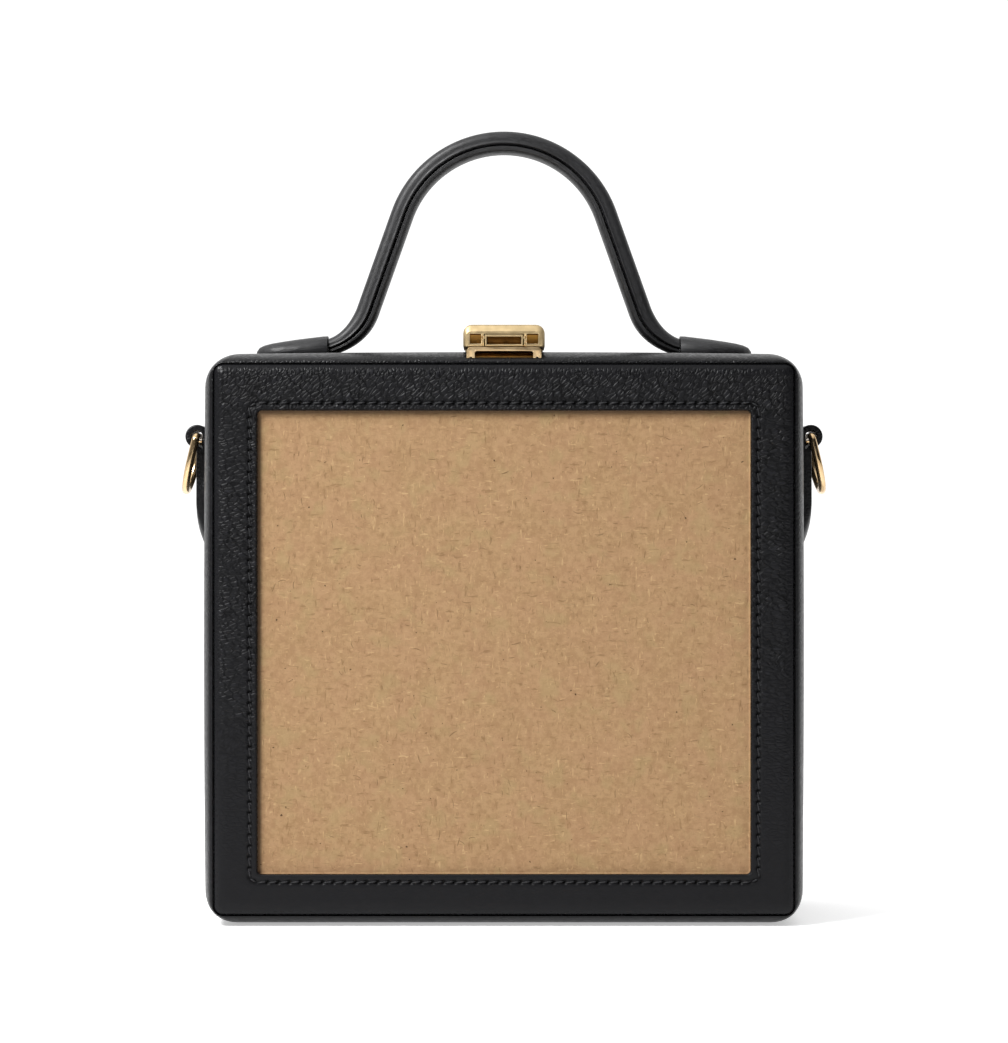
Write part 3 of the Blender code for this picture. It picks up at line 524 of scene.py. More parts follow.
tanSheet = fibreSheet({
    "low": "8a6d4d", "high": "977a58", "mottleBlend": (0.34, 0.66), "mottlePitch": 1.6 * mm,
    "rosy": "977258", "rosyShare": 0.22, "rosyBlend": (0.35, 0.65), "blotchPitch": 12 * mm,
    "green": "8f7d56", "greenShare": 0.35, "greenBlend": (0.52, 0.68), "cloudPitch": 8.4 * mm,
    "pale": "ad9069", "paleShare": 0.7, "paleBlend": (0.62, 0.76),
    "dark": "6f5337", "darkShare": 0.6, "darkBlend": (0.40, 0.26),
    "speck": "4a3422", "speckBlend": (0.77, 0.82), "speckPitch": 1.3 * mm,
    # A painted shadow: brown along the window's upper and left edges, fading inward.
    "paintedShadow": "38291c", "paintedShadowShare": 0.85, "paintedShadowFrom": 0.3 * mm, "paintedShadowTo": 1.7 * mm,
    "strandStretch": ((0.28, 1.0, 1.0), (1.0, 1.0, 0.28), (0.45, 1.0, 0.6)),
    "strandWidth": 0.95 * mm, "strandStrength": 0.5, "strandDepth": 0.12 * mm,
})


def windowRing(outset, y, steps):
    corner = windowLook["corner"] + outset
    return ringOf(windowHalf + outset, windowLow - outset, windowHigh + outset, corner, y, steps)


def panelRing(inset, y, steps):
    corner = max(box["panelCorner"] - 0.5 * inset, 0.2 * box["panelCorner"])
    return ringOf(panelHalf - inset, panelLow + inset, panelHigh - inset, corner, y, steps)


# The rounded outer edge of a panel: its flat face is at flatY, and towards is 1 where depth runs to the back.
def roundedEdge(flatY, towards, steps):
    rings = [panelRing(0.0, flatY + towards * box["panelThickness"], steps)]
    for turn in quarterTurn(windowLook["roundSteps"]):
        inset = windowLook["roundWidth"] * (1 - math.cos(turn))
        depth = windowLook["roundDepth"] * (1 - math.sin(turn))
        rings.append(panelRing(inset, flatY + towards * depth, steps))
    return rings


# Holes run along the four members at one distance from the window, and a slanting stitch crosses each corner.
def stitchHoles(look):
    at, skip, y = look["stitchAt"], look["cornerSkip"], frontY
    half, low, high = windowHalf + at, windowLow - at, windowHigh + at
    top = evenly((-half + skip, y, high), (half - skip, y, high), look["pitch"])
    right = evenly((half, y, high - skip / 2), (half, y, low + skip / 2), look["pitch"])
    bottom = evenly((half - skip, y, low), (-half + skip, y, low), look["pitch"])
    left = evenly((-half, y, low + skip / 2), (-half, y, high - skip / 2), look["pitch"])
    return [top, right, bottom, left]


# Sinks the leather round each hole and marks it as a pit, where the leather is painted dark as shade, and
# makes the padded front a little uneven.
def sinkHoles(mesh, look):
    holes = [hole for run in stitchHoles(look) for hole in run]
    tree = KDTree(len(holes))
    for i, hole in enumerate(holes):
        tree.insert(hole, i)
    tree.balance()
    pits = mesh.attributes.new("pit", "FLOAT", "POINT")
    front = frontY + look["roundDepth"] * look["frontShare"]
    for i, vertex in enumerate(mesh.vertices):
        if vertex.co.y > front:
            continue
        flat = Vector((vertex.co.x, frontY, vertex.co.z))
        wave = noise.noise(flat / look["longWave"]) + 0.5 * noise.noise(flat / look["shortWave"])
        vertex.co.y += look["unevenness"] * (look["unevenShift"] + 0.5 * wave)
        away = tree.find(flat)[2] / look["holeRadius"]
        if away < look["holeReach"]:
            dent = math.exp(-away * away)
            vertex.co.y += look["holeDepth"] * dent
            pits.data[i].value = min(dent * look["pitShare"], 1.0)


def windowFrame(look):
    steps = look["steps"]
    rings = roundedEdge(frontY, 1, steps)
    outer = panelRing(look["roundWidth"], frontY, steps)
    inner = windowRing(look["bandWidth"], frontY, steps)
    for i in range(1, look["flatSteps"]):
        share = i / look["flatSteps"]
        rings.append([tuple(Vector(a).lerp(Vector(b), share)) for a, b in zip(outer, inner)])
    rings.append(inner)
    for step in range(1, look["bandSteps"] + 1):
        outset = look["bandWidth"] - look["bandStep"] * step
        off = (outset - look["stitchAt"]) / look["channelHalf"]
        rings.append(windowRing(outset, frontY + look["channel"] * math.exp(-off * off), steps))
    for turn in quarterTurn(look["edgeSteps"])[1:]:
        outset = look["edgeRadius"] * (1 - math.sin(turn))
        rings.append(windowRing(outset, frontY + look["edgeRadius"] * (1 - math.cos(turn)), steps))
    rebate = look["sheetHold"] + box["gap"]
    for outset, depth in ((0.0, look["lip"]), (rebate, look["lip"]), (rebate, box["panelThickness"])):
        rings.append(windowRing(outset, frontY + depth, steps))
    mesh = skin("windowFrame", rings, joined=True)
    sinkHoles(mesh, look)
    return addPiece("windowFrame", mesh, "lid", [frameLeather], ["front_frame"])


windowFrame(windowLook)
outward = Vector((0, -1, 0))
members = stitchHoles(windowLook)
across = [Vector(v) for v in ((0, 0, 1), (1, 0, 0), (0, 0, -1), (-1, 0, 0))]
runs = [(holes, outward, cross) for holes, cross in zip(members, across)]
runs += [([holes[-1], following[0]], outward, Vector()) for holes, following in
         zip(members, members[1:] + members[:1])]
stitches("windowStitches", runs, "lid", stitchLook)

print("the fibre sheet and its loose strands")
sheetLook = {
    "cells": 90, "ripple": 0.10 * mm, "ripplePitch": 24 * mm, "rippleFade": 12, "sharp": 40.0,
    "edge": 0.8 * mm, "edgeRise": 0.5 * mm, "edgeGap": 0.06 * mm, "edgeSunk": 0.02 * mm, "edgeSteps": 8,
    "strands": 420, "strandRadius": 0.07 * mm, "thinnest": 0.7, "thickest": 1.3, "shortest": 0.9 * mm,
    "longest": 3.4 * mm, "margin": 1.5 * mm, "headingSpread": 0.28, "bend": 0.5, "paleShare": 0.72,
    "strandSteps": 5, "strandTaper": 1.6, "palest": "a58a64", "darkest": "755a3c", "tintPitch": 4 * mm,
    "tintDarker": 0.8,
}


# The sheet is a grid on both sides, slightly rippled in front, with its four edges closed.
def windowSheet(look):
    near, far = sheetLow.y, sheetHigh.y
    count = look["cells"]
    grid = bmesh.new()
    layers = []
    for y in (near, far):
        rows = []
        for i in range(count + 1):
            z = sheetLow.z + (sheetHigh.z - sheetLow.z) * i / count
            row = []
            for j in range(count + 1):
                x = sheetLow.x + (sheetHigh.x - sheetLow.x) * j / count
                fade = min(min(i, j, count - i, count - j) / count * look["rippleFade"], 1)
                lift = look["ripple"] * noise.noise(Vector((x, z, 0)) / look["ripplePitch"]) * fade
                row.append(grid.verts.new((x, y - (max(lift, 0) if y == near else 0), z)))
            rows.append(row)
        layers.append(rows)
    front, back = layers
    strips = [pair for rows in layers for pair in zip(rows, rows[1:])]
    strips += [(front[0], back[0]), (front[-1], back[-1])]
    strips += [([row[k] for row in front], [row[k] for row in back]) for k in (0, -1)]
    for first, second in strips:
        for j in range(count):
            grid.faces.new((first[j], first[j + 1], second[j + 1], second[j]))
    bmesh.ops.recalc_face_normals(grid, faces=grid.faces)
    mesh = smoothed(meshOf("windowSheet", grid), look["sharp"])
    return addPiece("windowSheet", mesh, "lid", [tanSheet], ["front_sheet"])


# The strands are paper fibre, dry and dull, a little paler or darker than the sheet.
def paperFibre(name, code, look):
    material, tree, shader = newMaterial(name, Roughness=0.8, Specular_IOR_Level=0.3)
    coords = addNode(tree, "TexCoord").outputs["Object"]
    tint = remap(tree, noiseOf(tree, coords, look["tintPitch"]), 0.3, 0.7)
    darker = tuple(c * look["tintDarker"] for c in hexColour(code)[:3]) + (1.0,)
    tree.links.new(blendColour(tree, tint, hexColour(code), darker), shader.inputs["Base Color"])
    return material


# Loose strands of the sheet: short, slightly bent and half sunk into it, mostly level or upright.
def sheetStrands(look):
    verts, faces, tones = [], [], []
    margin, steps = look["margin"], look["strandSteps"]
    for _ in range(look["strands"]):
        x = random.uniform(-windowHalf + margin, windowHalf - margin)
        z = random.uniform(windowLow + margin, windowHigh - margin)
        heading = random.choice((0.0, 0.5)) * math.pi + random.gauss(0, look["headingSpread"])
        length = random.uniform(look["shortest"], look["longest"])
        bend = random.uniform(-look["bend"], look["bend"])
        radius = look["strandRadius"] * random.uniform(look["thinnest"], look["thickest"])
        tone = 0 if random.random() < look["paleShare"] else 1
        base = len(verts)
        for k in range(steps):
            t = k / (steps - 1) - 0.5
            turn = heading + bend * t
            centre = Vector((x + length * t * math.cos(turn), sheetLow.y, z + length * t * math.sin(turn)))
            centre.y -= look["ripple"] * 0.5 * (1 - 4 * t * t)
            side = Vector((-math.sin(turn), 0, math.cos(turn)))
            thick = radius * (1 - look["strandTaper"] * t * t)
            for a, b in ((1, 0), (0, -1), (-1, 0), (0, 1)):
                verts.append(centre + side * a * thick + Vector((0, b * thick, 0)))
        for k in range(base, base + 4 * (steps - 1), 4):
            faces += [(k + i, k + (i + 1) % 4, k + 4 + (i + 1) % 4, k + 4 + i) for i in range(4)]
        last = base + 4 * (steps - 1)
        faces += [(base, base + 1, base + 2, base + 3), tuple(last + i for i in (3, 2, 1, 0))]
        tones += [tone] * (4 * (steps - 1) + 2)
    mesh = plainMesh("sheetStrands", verts, faces)
    mesh.polygons.foreach_set("material_index", tones)
    materials = [paperFibre("paleStrand", look["palest"], look),
                 paperFibre("darkStrand", look["darkest"], look)]
    return addPiece("sheetStrands", smoothed(mesh), "lid", materials)


# The sheet is pressed up round the window's edge, so light from above and the left catches its far sides.
def sheetEdge(look):
    middle = windowLook["lip"] + box["gap"] + frontY
    low = middle + look["edgeSunk"]
    rings = [windowRing(-look["edge"] - look["edgeGap"], low, coarseSteps)]
    for turn in quarterTurn(look["edgeSteps"]):
        outset = -look["edgeGap"] - look["edge"] * (1 - math.sin(turn))
        rings.append(windowRing(outset, middle - look["edgeRise"] * (1 - math.cos(turn)), coarseSteps))
    rings.append(windowRing(-look["edgeGap"], low, coarseSteps))
    return addPiece("sheetEdge", skin("sheetEdge", rings, joined=True), "lid", [tanSheet])


windowSheet(sheetLook)
sheetEdge(sheetLook)
sheetStrands(sheetLook)

print("the lid's and the body's trays, and the back panel")
trayLook = {
    "rim": 0.5 * mm, "rimSteps": 4, "shoulderSteps": 18, "steps": {"corner": 12, "level": 36, "upright": 34},
    "slotHalf": 2.6 * mm, "slotLength": 170.6 * mm, "slotHeight": 3.3 * mm, "cutFrom": -1 * mm,
    "reliefDepth": 1.9 * mm, "reliefHeight": 1.6 * mm,
}


def boxMesh(name, low, high):
    shape = bmesh.new()
    bmesh.ops.create_cube(shape, size=1.0)
    for vertex in shape.verts:
        vertex.co = Vector([(a + b) / 2 + c * (b - a) for a, b, c in zip(low, high, vertex.co)])
    return meshOf(name, shape)


def cutAway(piece, cuts):
    tools = []
    for low, high in cuts:
        tool = placed("cut", boxMesh("cut", low, high))
        step = piece.modifiers.new("cut", "BOOLEAN")
        step.operation, step.solver, step.object = "DIFFERENCE", "EXACT", tool
        tools.append(tool)
    settle(piece)
    for tool in tools:
        bpy.data.objects.remove(tool)


# A tray goes from its recessed face over the shoulder to the rim, and back inside to its floor. The hinge's
# slot is then cut into its lower wall, and the lid's wall is cut short there, so that it can swing down.
def tray(name, face, rim, body, node, look):
    inward = 1 if rim > face else -1
    steps = look["steps"]
    rings = [boxRing(box["groove"], face + inward * (box["panelThickness"] + box["gap"]), steps)]
    for turn in quarterTurn(look["shoulderSteps"]):
        outset = box["groove"] + (box["shoulderRise"] - box["groove"]) * math.sin(turn)
        depth = box["noseDepth"] + box["shoulderDepth"] * (1 - math.cos(turn))
        rings.append(boxRing(outset, face + inward * depth, steps))
    for turn in quarterTurn(look["rimSteps"]):
        inset = look["rim"] * (1 - math.cos(turn))
        y = rim - inward * look["rim"] * (1 - math.sin(turn))
        rings.append(boxRing(box["shoulderRise"] - inset, y, steps, box["corner"] - inset, 1.0))
    inside, innerCorner = box["shoulderRise"] - box["wall"], box["corner"] - box["wall"]
    for turn in quarterTurn(look["rimSteps"]):
        offset = look["rim"] * (1 - math.sin(turn))
        y = rim - inward * look["rim"] * (1 - math.cos(turn))
        rings.append(boxRing(inside + offset, y, steps, innerCorner + offset, 1.0))
    floorY = face + inward * (box["panelThickness"] + box["gap"] + box["board"])
    rings.append(boxRing(inside, floorY, steps, innerCorner, 1.0))
    mesh = skin(name, rings)
    mesh.materials.append(caseLeather)
    mesh.materials.append(insideSuede)
    count = len(rings[0])
    firstInner = (len(rings) - 2) * count
    for i, side in enumerate(mesh.polygons):
        isFloor = i == len(mesh.polygons) - 1
        side.material_index = 1 if isFloor or firstInner <= i < firstInner + count else 0
    piece = addPiece(name, mesh, body, [], [node])
    half, slot = look["slotLength"] / 2, look["slotHalf"]
    cuts = [((-half, splitY - slot, look["cutFrom"]), (half, splitY + slot, look["slotHeight"]))]
    if body == "lid":
        wide, near = box["width"], splitY - look["reliefDepth"]
        cuts.append(((-wide, near, look["cutFrom"]), (wide, splitY, look["reliefHeight"])))
    cutAway(piece, cuts)
    return piece


tray("lidCase", frontY, splitY - box["splitGap"] / 2, "lid", "lid_shell", trayLook)
tray("bodyCase", backY, splitY + box["splitGap"] / 2, "case", "body_shell", trayLook)


# The plain panel of the back has a few rings across its flat face.
def backPanel(insets):
    rings = roundedEdge(backY, -1, coarseSteps)
    for share in insets:
        inset = windowLook["roundWidth"] + share * (panelHalf - windowLook["roundWidth"])
        rings.append(panelRing(inset, backY, coarseSteps))
    mesh = skin("backPanel", rings)
    return addPiece("backPanel", mesh, "case", [caseLeather], ["back_panel"])


backPanel((0.162, 0.306, 0.45, 0.594, 0.738))

print("the handle and its boots")
# The bead's and the strip's rows give how far up or down and how far across each point of the section lies.
handleLook = {
    "thickness": 7.0 * mm, "width": 11.2 * mm, "padding": 0.4 * mm, "rollShare": 0.64, "endShare": 0.72,
    "taper": 16 * mm, "rise": 67.2 * mm, "crownRadius": 35.4 * mm, "legSlope": 70.4, "footRadius": 19.0 * mm,
    "mouthSlope": 15.0, "crownSteps": 40, "legSteps": 14, "footSteps": 26, "sectionSteps": 20,
    "rollWidth": 0.96, "rollShoulder": 0.36, "sideFullness": 0.62, "topFullness": 0.85, "sharp": 60.0,
    "bead": [(0.26, 0.963), (0.20, 0.985), (0.16, 1.0), (0.12, 0.995), (0.09, 0.96), (0.08, 0.88),
             (0.0, 0.80)],
    "strip": [(0.0, 0.80), (0.03, 0.885), (0.08, 0.94), (0.15, 0.95), (0.22, 0.925), (0.28, 0.925),
              (0.36, 0.94), (0.55, 0.90), (0.76, 0.79), (0.92, 0.62), (1.0, 0.42), (1.0, 0.0)],
}


# Points along the handle from foot to foot: x, z, the slope there, and the share of its full thickness.
def handleStations(look):
    leg, mouth = math.radians(look["legSlope"]), math.radians(look["mouthSlope"])
    radius, foot = look["crownRadius"], look["footRadius"]
    crownDrop = radius * (1 - math.cos(leg))
    footDrop = foot * (math.cos(mouth) - math.cos(leg))
    legLength = (look["rise"] - crownDrop - footDrop) / math.sin(leg)
    legX = radius * math.sin(leg) + legLength * math.cos(leg)
    mouthX = legX + foot * (math.sin(leg) - math.sin(mouth))
    endHalf = look["endShare"] * look["thickness"] / 2
    mouthZ = topOfBox(mouthX) + box["gap"] + endHalf / math.cos(mouth)
    crownZ = mouthZ + look["rise"]
    stations = []
    for i in range(look["crownSteps"]):
        turn = leg * i / look["crownSteps"]
        stations.append((radius * math.sin(turn), crownZ - radius * (1 - math.cos(turn)), turn))
    for i in range(look["legSteps"]):
        along = legLength * i / look["legSteps"]
        x = radius * math.sin(leg) + along * math.cos(leg)
        stations.append((x, crownZ - crownDrop - along * math.sin(leg), leg))
    for i in range(look["footSteps"] + 1):
        turn = leg + (mouth - leg) * i / look["footSteps"]
        x = legX + foot * (math.sin(leg) - math.sin(turn))
        stations.append((x, mouthZ + foot * (math.cos(mouth) - math.cos(turn)), turn))
    lengths = [0.0]
    for (x, z, _), (nextX, nextZ, _) in zip(stations, stations[1:]):
        lengths.append(lengths[-1] + math.hypot(nextX - x, nextZ - z))
    shaped = []
    for (x, z, slope), length in zip(stations, lengths):
        near = min((lengths[-1] - length) / look["taper"], 1.0)
        ease = near * near * (3 - 2 * near)
        shaped.append((x, z, slope, look["endShare"] + (1 - look["endShare"]) * ease))
    return [(-x, z, -slope, share) for x, z, slope, share in reversed(shaped[1:])] + shaped


def sweep(name, section, node):
    stations = handleStations(handleLook)
    rings = []
    for i, (x, z, slope, share) in enumerate(stations):
        outX, outZ = math.sin(slope), math.cos(slope)
        if i in (0, len(stations) - 1):
            outX, outZ = 0.0, 1 / math.cos(slope)
        rings.append([(x + share * out * outX, y, z + share * out * outZ) for out, y in section])
    mesh = skin(name, rings, smoothAngle=handleLook["sharp"])
    return addPiece(name, mesh, "case", [handleLeather], [node])


# The roll stands over the strip. A bead runs along its lower edge, over the groove of the seam between them.
def handle(look):
    half, width = look["thickness"] / 2, look["width"] / 2
    seam = half - look["rollShare"] * look["thickness"]
    low, high = seam + box["gap"] / 2, half + look["padding"]
    tall, shoulder = high - low, look["rollShoulder"]
    roll = []
    for i in range(look["sectionSteps"] + 1):
        turn = math.pi * i / look["sectionSteps"]
        c, s = math.cos(turn), math.sin(turn)
        y = look["rollWidth"] * width * math.copysign(abs(c) ** look["sideFullness"], c)
        roll.append((low + tall * (shoulder + (1 - shoulder) * s ** look["topFullness"]), y))
    roll += [(low + up * tall, -out * width) for up, out in look["bead"]]
    roll += [(low, 0.0)]
    roll += [(low + up * tall, out * width) for up, out in reversed(look["bead"])]
    sweep("handleRoll", roll, "handle_roll")
    top = seam - box["gap"] / 2
    deep = top + half
    strip = [(top - down * deep, -out * width) for down, out in look["strip"]]
    strip += [(out, -y) for out, y in reversed(strip[:-1])]
    sweep("handleStrip", strip, "handle_strip")


handle(handleLook)
# The profile's rows are the share of the length, the height and the width. The section's are across and up.
bootLook = {
    "width": 17.2 * mm, "height": 6.4 * mm, "length": 23.4 * mm, "sections": 34, "spacing": 0.9,
    "profile": [(0.0, 1.0, 0.86), (0.05, 1.0, 0.90), (0.20, 0.94, 0.97), (0.42, 0.85, 1.0),
                (0.62, 0.75, 0.95), (0.78, 0.66, 0.82), (0.89, 0.565, 0.62), (0.96, 0.455, 0.40),
                (1.0, 0.26, 0.20)],
    "section": [(0.90, 0.0), (0.985, 0.05), (1.0, 0.16), (1.0, 0.30), (0.975, 0.44), (0.93, 0.56),
                (0.86, 0.68), (0.76, 0.79), (0.62, 0.885), (0.44, 0.955), (0.22, 0.99), (0.0, 1.0)],
}


def profileAt(profile, share):
    for (a, h0, w0), (b, h1, w1) in zip(profile, profile[1:]):
        if share <= b:
            t = (share - a) / (b - a)
            return h0 + (h1 - h0) * t, w0 + (w1 - w0) * t
    return profile[-1][1:]


def boot(name, side, node, look):
    mouthX = handleStations(handleLook)[-1][0] + box["gap"]
    section = look["section"] + [(-across, up) for across, up in reversed(look["section"][:-1])]
    rings = []
    for i in range(look["sections"] + 1):
        share = math.sin(math.pi / 2 * i / look["sections"]) ** look["spacing"]
        height, width = profileAt(look["profile"], share)
        x = mouthX + share * look["length"]
        base = topOfBox(x) + box["gap"]
        rings.append([(side * x, across * width * look["width"] / 2, base + up * height * look["height"])
                      for across, up in section])
    mesh = skin(name, rings, smoothAngle=handleLook["sharp"])
    return addPiece(name, mesh, "case", [handleLeather], [node])


boot("bootLeft", -1, "handle_mount_left", bootLook)
boot("bootRight", 1, "handle_mount_right", bootLook)

print("the side loops and their rings")
ringLook = {
    "barHeight": 156.6 * mm, "width": 21.5 * mm, "length": 18.1 * mm, "wire": 1.25 * mm, "corner": 1.8 * mm,
    "lean": 13.5, "clearance": 0.6 * mm, "bowSteps": 48, "cornerSteps": 8, "barSteps": 12, "wireSides": 16,
    "sharp": 80.0,
}
# The fold and the eye are arcs: the first angle in degrees, the one to stop at, and the step.
loopLook = {
    "leather": 2.0 * mm, "width": 16.5 * mm, "length": 37.0 * mm, "rows": 32, "edge": 0.55 * mm,
    "footRoundness": 0.9, "skived": 11.0 * mm, "skivedShare": 0.25, "pressed": 0.98, "seamGap": 0.02 * mm,
    "layerGap": 0.06 * mm, "frontRows": 16, "backRows": 12, "fold": (-40, 181, 13), "eye": (214, -75, -16),
    "foldDrop": 1.25, "backDrop": 0.5, "eyeRounding": 0.5, "backRounding": 0.4,
    "pitch": 3.0 * mm, "stitchInset": 1.9 * mm, "lowestStitch": 9.0 * mm, "highestStitch": 6.0 * mm,
    "bowStitches": 6, "bowDepth": 0.6, "stitch": {"radius": 0.2 * mm, "crown": 0.02 * mm, "lean": 0.1 * mm},
    "sharp": 55.0,
}
barX = sideOfBox(ringLook["barHeight"]) + box["gap"] + loopLook["leather"]
barX += ringLook["clearance"] + ringLook["wire"]


def edgeRounding(y, look):
    edge = max(abs(y) - (look["width"] / 2 - look["edge"]), 0.0) / look["edge"]
    return look["edge"] * (1 - math.sqrt(max(1 - edge * edge, 0.0)))


def strapFoot(y, look):
    half = look["width"] / 2
    rise = half * (1 - math.sqrt(max(1 - (y / half) ** 2, 0.0)))
    return ringLook["barHeight"] - look["length"] + rise * look["footRoundness"]


# How far the strap's outer face and the seam between its layers stand from the middle of the bag.
def strapFaces(y, z, look):
    soft = min(max((z - strapFoot(y, look)) / look["skived"], 0.0), 1.0)
    full = look["skivedShare"] + (1 - look["skivedShare"]) * math.sin(math.pi / 2 * soft)
    thick = full * (2 * look["leather"]) - edgeRounding(y, look) * soft
    seam = look["leather"] * min(look["skivedShare"] + soft, 1.0) * look["pressed"] + look["seamGap"]
    return [sideOfBox(z) + box["gap"] + distance for distance in (thick, seam)]


# The strap is one strip of leather, folded round the ring's bar with its two layers laid on the wall.
def strapOutline(y, look):
    bar = ringLook["barHeight"]
    rounding = edgeRounding(y, look)
    inner = ringLook["wire"] + ringLook["clearance"] + rounding * look["eyeRounding"]
    outer = ringLook["wire"] + ringLook["clearance"] + look["leather"] - rounding
    foot = strapFoot(y, look)
    top, backTop = bar - look["foldDrop"] * outer, bar - look["backDrop"] * outer
    front, frontInner = [], []
    for i in range(look["frontRows"] + 1):
        z = foot + (top - foot) * i / look["frontRows"]
        outside, seam = strapFaces(y, z, look)
        front.append((outside, z))
        frontInner.append((seam, z))

    def arc(radius, degrees):
        turns = [math.radians(d) for d in range(*degrees)]
        return [(barX + radius * math.cos(a), bar + radius * math.sin(a)) for a in turns]

    heights = [backTop - (backTop - foot) * i / look["backRows"] for i in range(look["backRows"] + 1)]
    back = [(sideOfBox(z) + box["gap"] + rounding * look["backRounding"], z) for z in heights]
    backInner = [(x - look["layerGap"], z) for x, z in frontInner]
    fold, eye = arc(outer, look["fold"]), arc(inner, look["eye"])
    return front + fold + back + backInner[1:] + eye + frontInner[:0:-1]


def strap(name, side, node, look):
    half = look["width"] / 2
    rings = []
    for i in range(look["rows"] + 1):
        y = half * math.sin(math.pi * (i / look["rows"] - 0.5))
        rings.append([(side * x, y, z) for x, z in strapOutline(y, look)])
    mesh = skin(name, rings, smoothAngle=look["sharp"])
    addPiece(name, mesh, "case", [caseLeather], [node])
    low = ringLook["barHeight"] - look["length"] + look["lowestStitch"]
    high = ringLook["barHeight"] - look["highestStitch"]
    inset = half - look["stitchInset"]
    outside = Vector((side, 0, 0))

    def onFace(y, z):
        return Vector((side * strapFaces(y, z, look)[0], y, z))

    runs = []
    rows = [((y, high), (y, low), (0, 1, 0)) for y in (-inset, inset)]
    rows += [((-inset, high), (inset, high), (0, 0, 1))]
    for start, end, cross in rows:
        runs.append((evenly(onFace(*start), onFace(*end), look["pitch"]), outside, Vector(cross)))
    turns = [math.pi * i / look["bowStitches"] for i in range(look["bowStitches"] + 1)]
    bow = [onFace(inset * math.cos(a), low - inset * look["bowDepth"] * math.sin(a)) for a in turns]
    runs.append((bow, outside, Vector()))
    stitches(name + "Stitches", runs, "case", {**stitchLook, **look["stitch"]})


# The ring's path goes round its two corners, the bow and the bar. The wire's circles then stand across it.
def dRing(name, side, node, look):
    half, corner = look["width"] / 2, look["corner"]
    rounding = [(corner * (1 - math.sin(turn)), corner * (1 - math.cos(turn)))
                for turn in quarterTurn(look["cornerSteps"])]
    arm = look["length"] - half
    path = [(half - across, up) for across, up in rounding]
    for i in range(look["bowSteps"] + 1):
        turn = math.pi * i / look["bowSteps"]
        path.append((half * math.cos(turn), arm + half * math.sin(turn)))
    path += [(-half + across, up) for across, up in reversed(rounding)]
    for i in range(1, look["barSteps"]):
        path.append((-half + corner + (look["width"] - 2 * corner) * i / look["barSteps"], 0.0))
    lean = math.radians(look["lean"])
    down = Vector((side * math.sin(lean), 0, -math.cos(lean)))
    flat = Vector((side * math.cos(lean), 0, math.sin(lean)))
    bar = Vector((side * barX, 0, look["barHeight"]))
    points = [bar + Vector((0, 1, 0)) * y + down * d for y, d in path]
    turns = [2 * math.pi * k / look["wireSides"] for k in range(look["wireSides"])]
    rings = []
    for i, point in enumerate(points):
        run = (points[(i + 1) % len(points)] - points[i - 1]).normalized()
        inPlane = run.cross(flat).normalized()
        spokes = [inPlane * math.cos(a) + flat * math.sin(a) for a in turns]
        rings.append([tuple(point + spoke * look["wire"]) for spoke in spokes])
    mesh = skin(name, rings, joined=True, smoothAngle=look["sharp"])
    body = "ring_left" if side < 0 else "ring_right"
    return addPiece(name, mesh, body, [goldWire], [node])


for word, side in (("Left", -1), ("Right", 1)):
    strap("strap" + word, side, "ring_tab_" + word.lower(), loopLook)
    dRing("dRing" + word, side, "d_ring_" + word.lower(), ringLook)

print("the clasp and the hinge")
claspLook = {
    "edge": 0.22 * mm, "fineEdge": 0.14 * mm, "edgeSegments": 3, "weld": 0.002 * mm, "flat": 1.5,
    "sharp": 32.0, "hollowFrom": 0.5 * mm, "hollowTo": 6.4 * mm, "hollowHalf": 11.0 * mm,
    "hollowFloor": 0.7 * mm, "hollowTop": 0.6 * mm, "leverSharp": 50.0, "cells": (110, 44),
    "rim": 0.55 * mm, "rimRound": 0.25 * mm,
    "rimSlope": 0.25 * mm, "dullFrom": 0.4, "dish": 0.95 * mm, "rib": 0.14 * mm, "ribPitch": 0.55 * mm,
    "trunnion": 0.6 * mm, "pin": 0.45 * mm, "pinSides": 16, "cheek": 0.9 * mm,
    "bead": 0.21 * mm, "beadRows": 8, "beadSpread": 0.25 * mm, "beadSink": 0.05 * mm, "beadSides": (12, 8),
    "bedHalf": 9.2 * mm, "bedInset": 0.5 * mm, "bedSteps": 14, "bedTop": 0.7, "bedUnder": 0.3,
    "bedSharp": 40.0,
}


# Takes a cast or stamped piece from its solid and softens its sharp edges.
def softened(name, node, body, width, material, angle=25.0):
    look = claspLook
    shape = bmesh.new()
    shape.from_mesh(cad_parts[node].data)
    bmesh.ops.remove_doubles(shape, verts=shape.verts, dist=look["weld"])
    bmesh.ops.dissolve_limit(shape, angle_limit=math.radians(look["flat"]), verts=shape.verts,
                             edges=shape.edges)
    piece = addPiece(name, meshOf(name, shape), body, [material], [node])
    step = piece.modifiers.new("soften", "BEVEL")
    step.width, step.segments, step.limit_method = width, look["edgeSegments"], "ANGLE"
    step.angle_limit = math.radians(angle)
    step.use_clamp_overlap = True
    settle(piece)
    smoothed(piece.data, look["sharp"])
    return piece


# The faces inside the housing's cells get the dull plating, which paints shade into them.
def claspHousing(look):
    piece = softened("claspHousing", "clasp_housing", "case", look["edge"], gold)
    piece.data.materials.append(dullGoldAndShade)
    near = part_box("clasp_housing")[0].y
    leverLow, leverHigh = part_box("clasp_lever")
    low, high = leverLow.z + look["hollowFloor"], leverHigh.z + look["hollowTop"]
    for face in piece.data.polygons:
        x, y, z = face.center
        deep = near + look["hollowFrom"] < y < near + look["hollowTo"]
        if deep and abs(x) < look["hollowHalf"] and low < z < high:
            face.material_index = 1


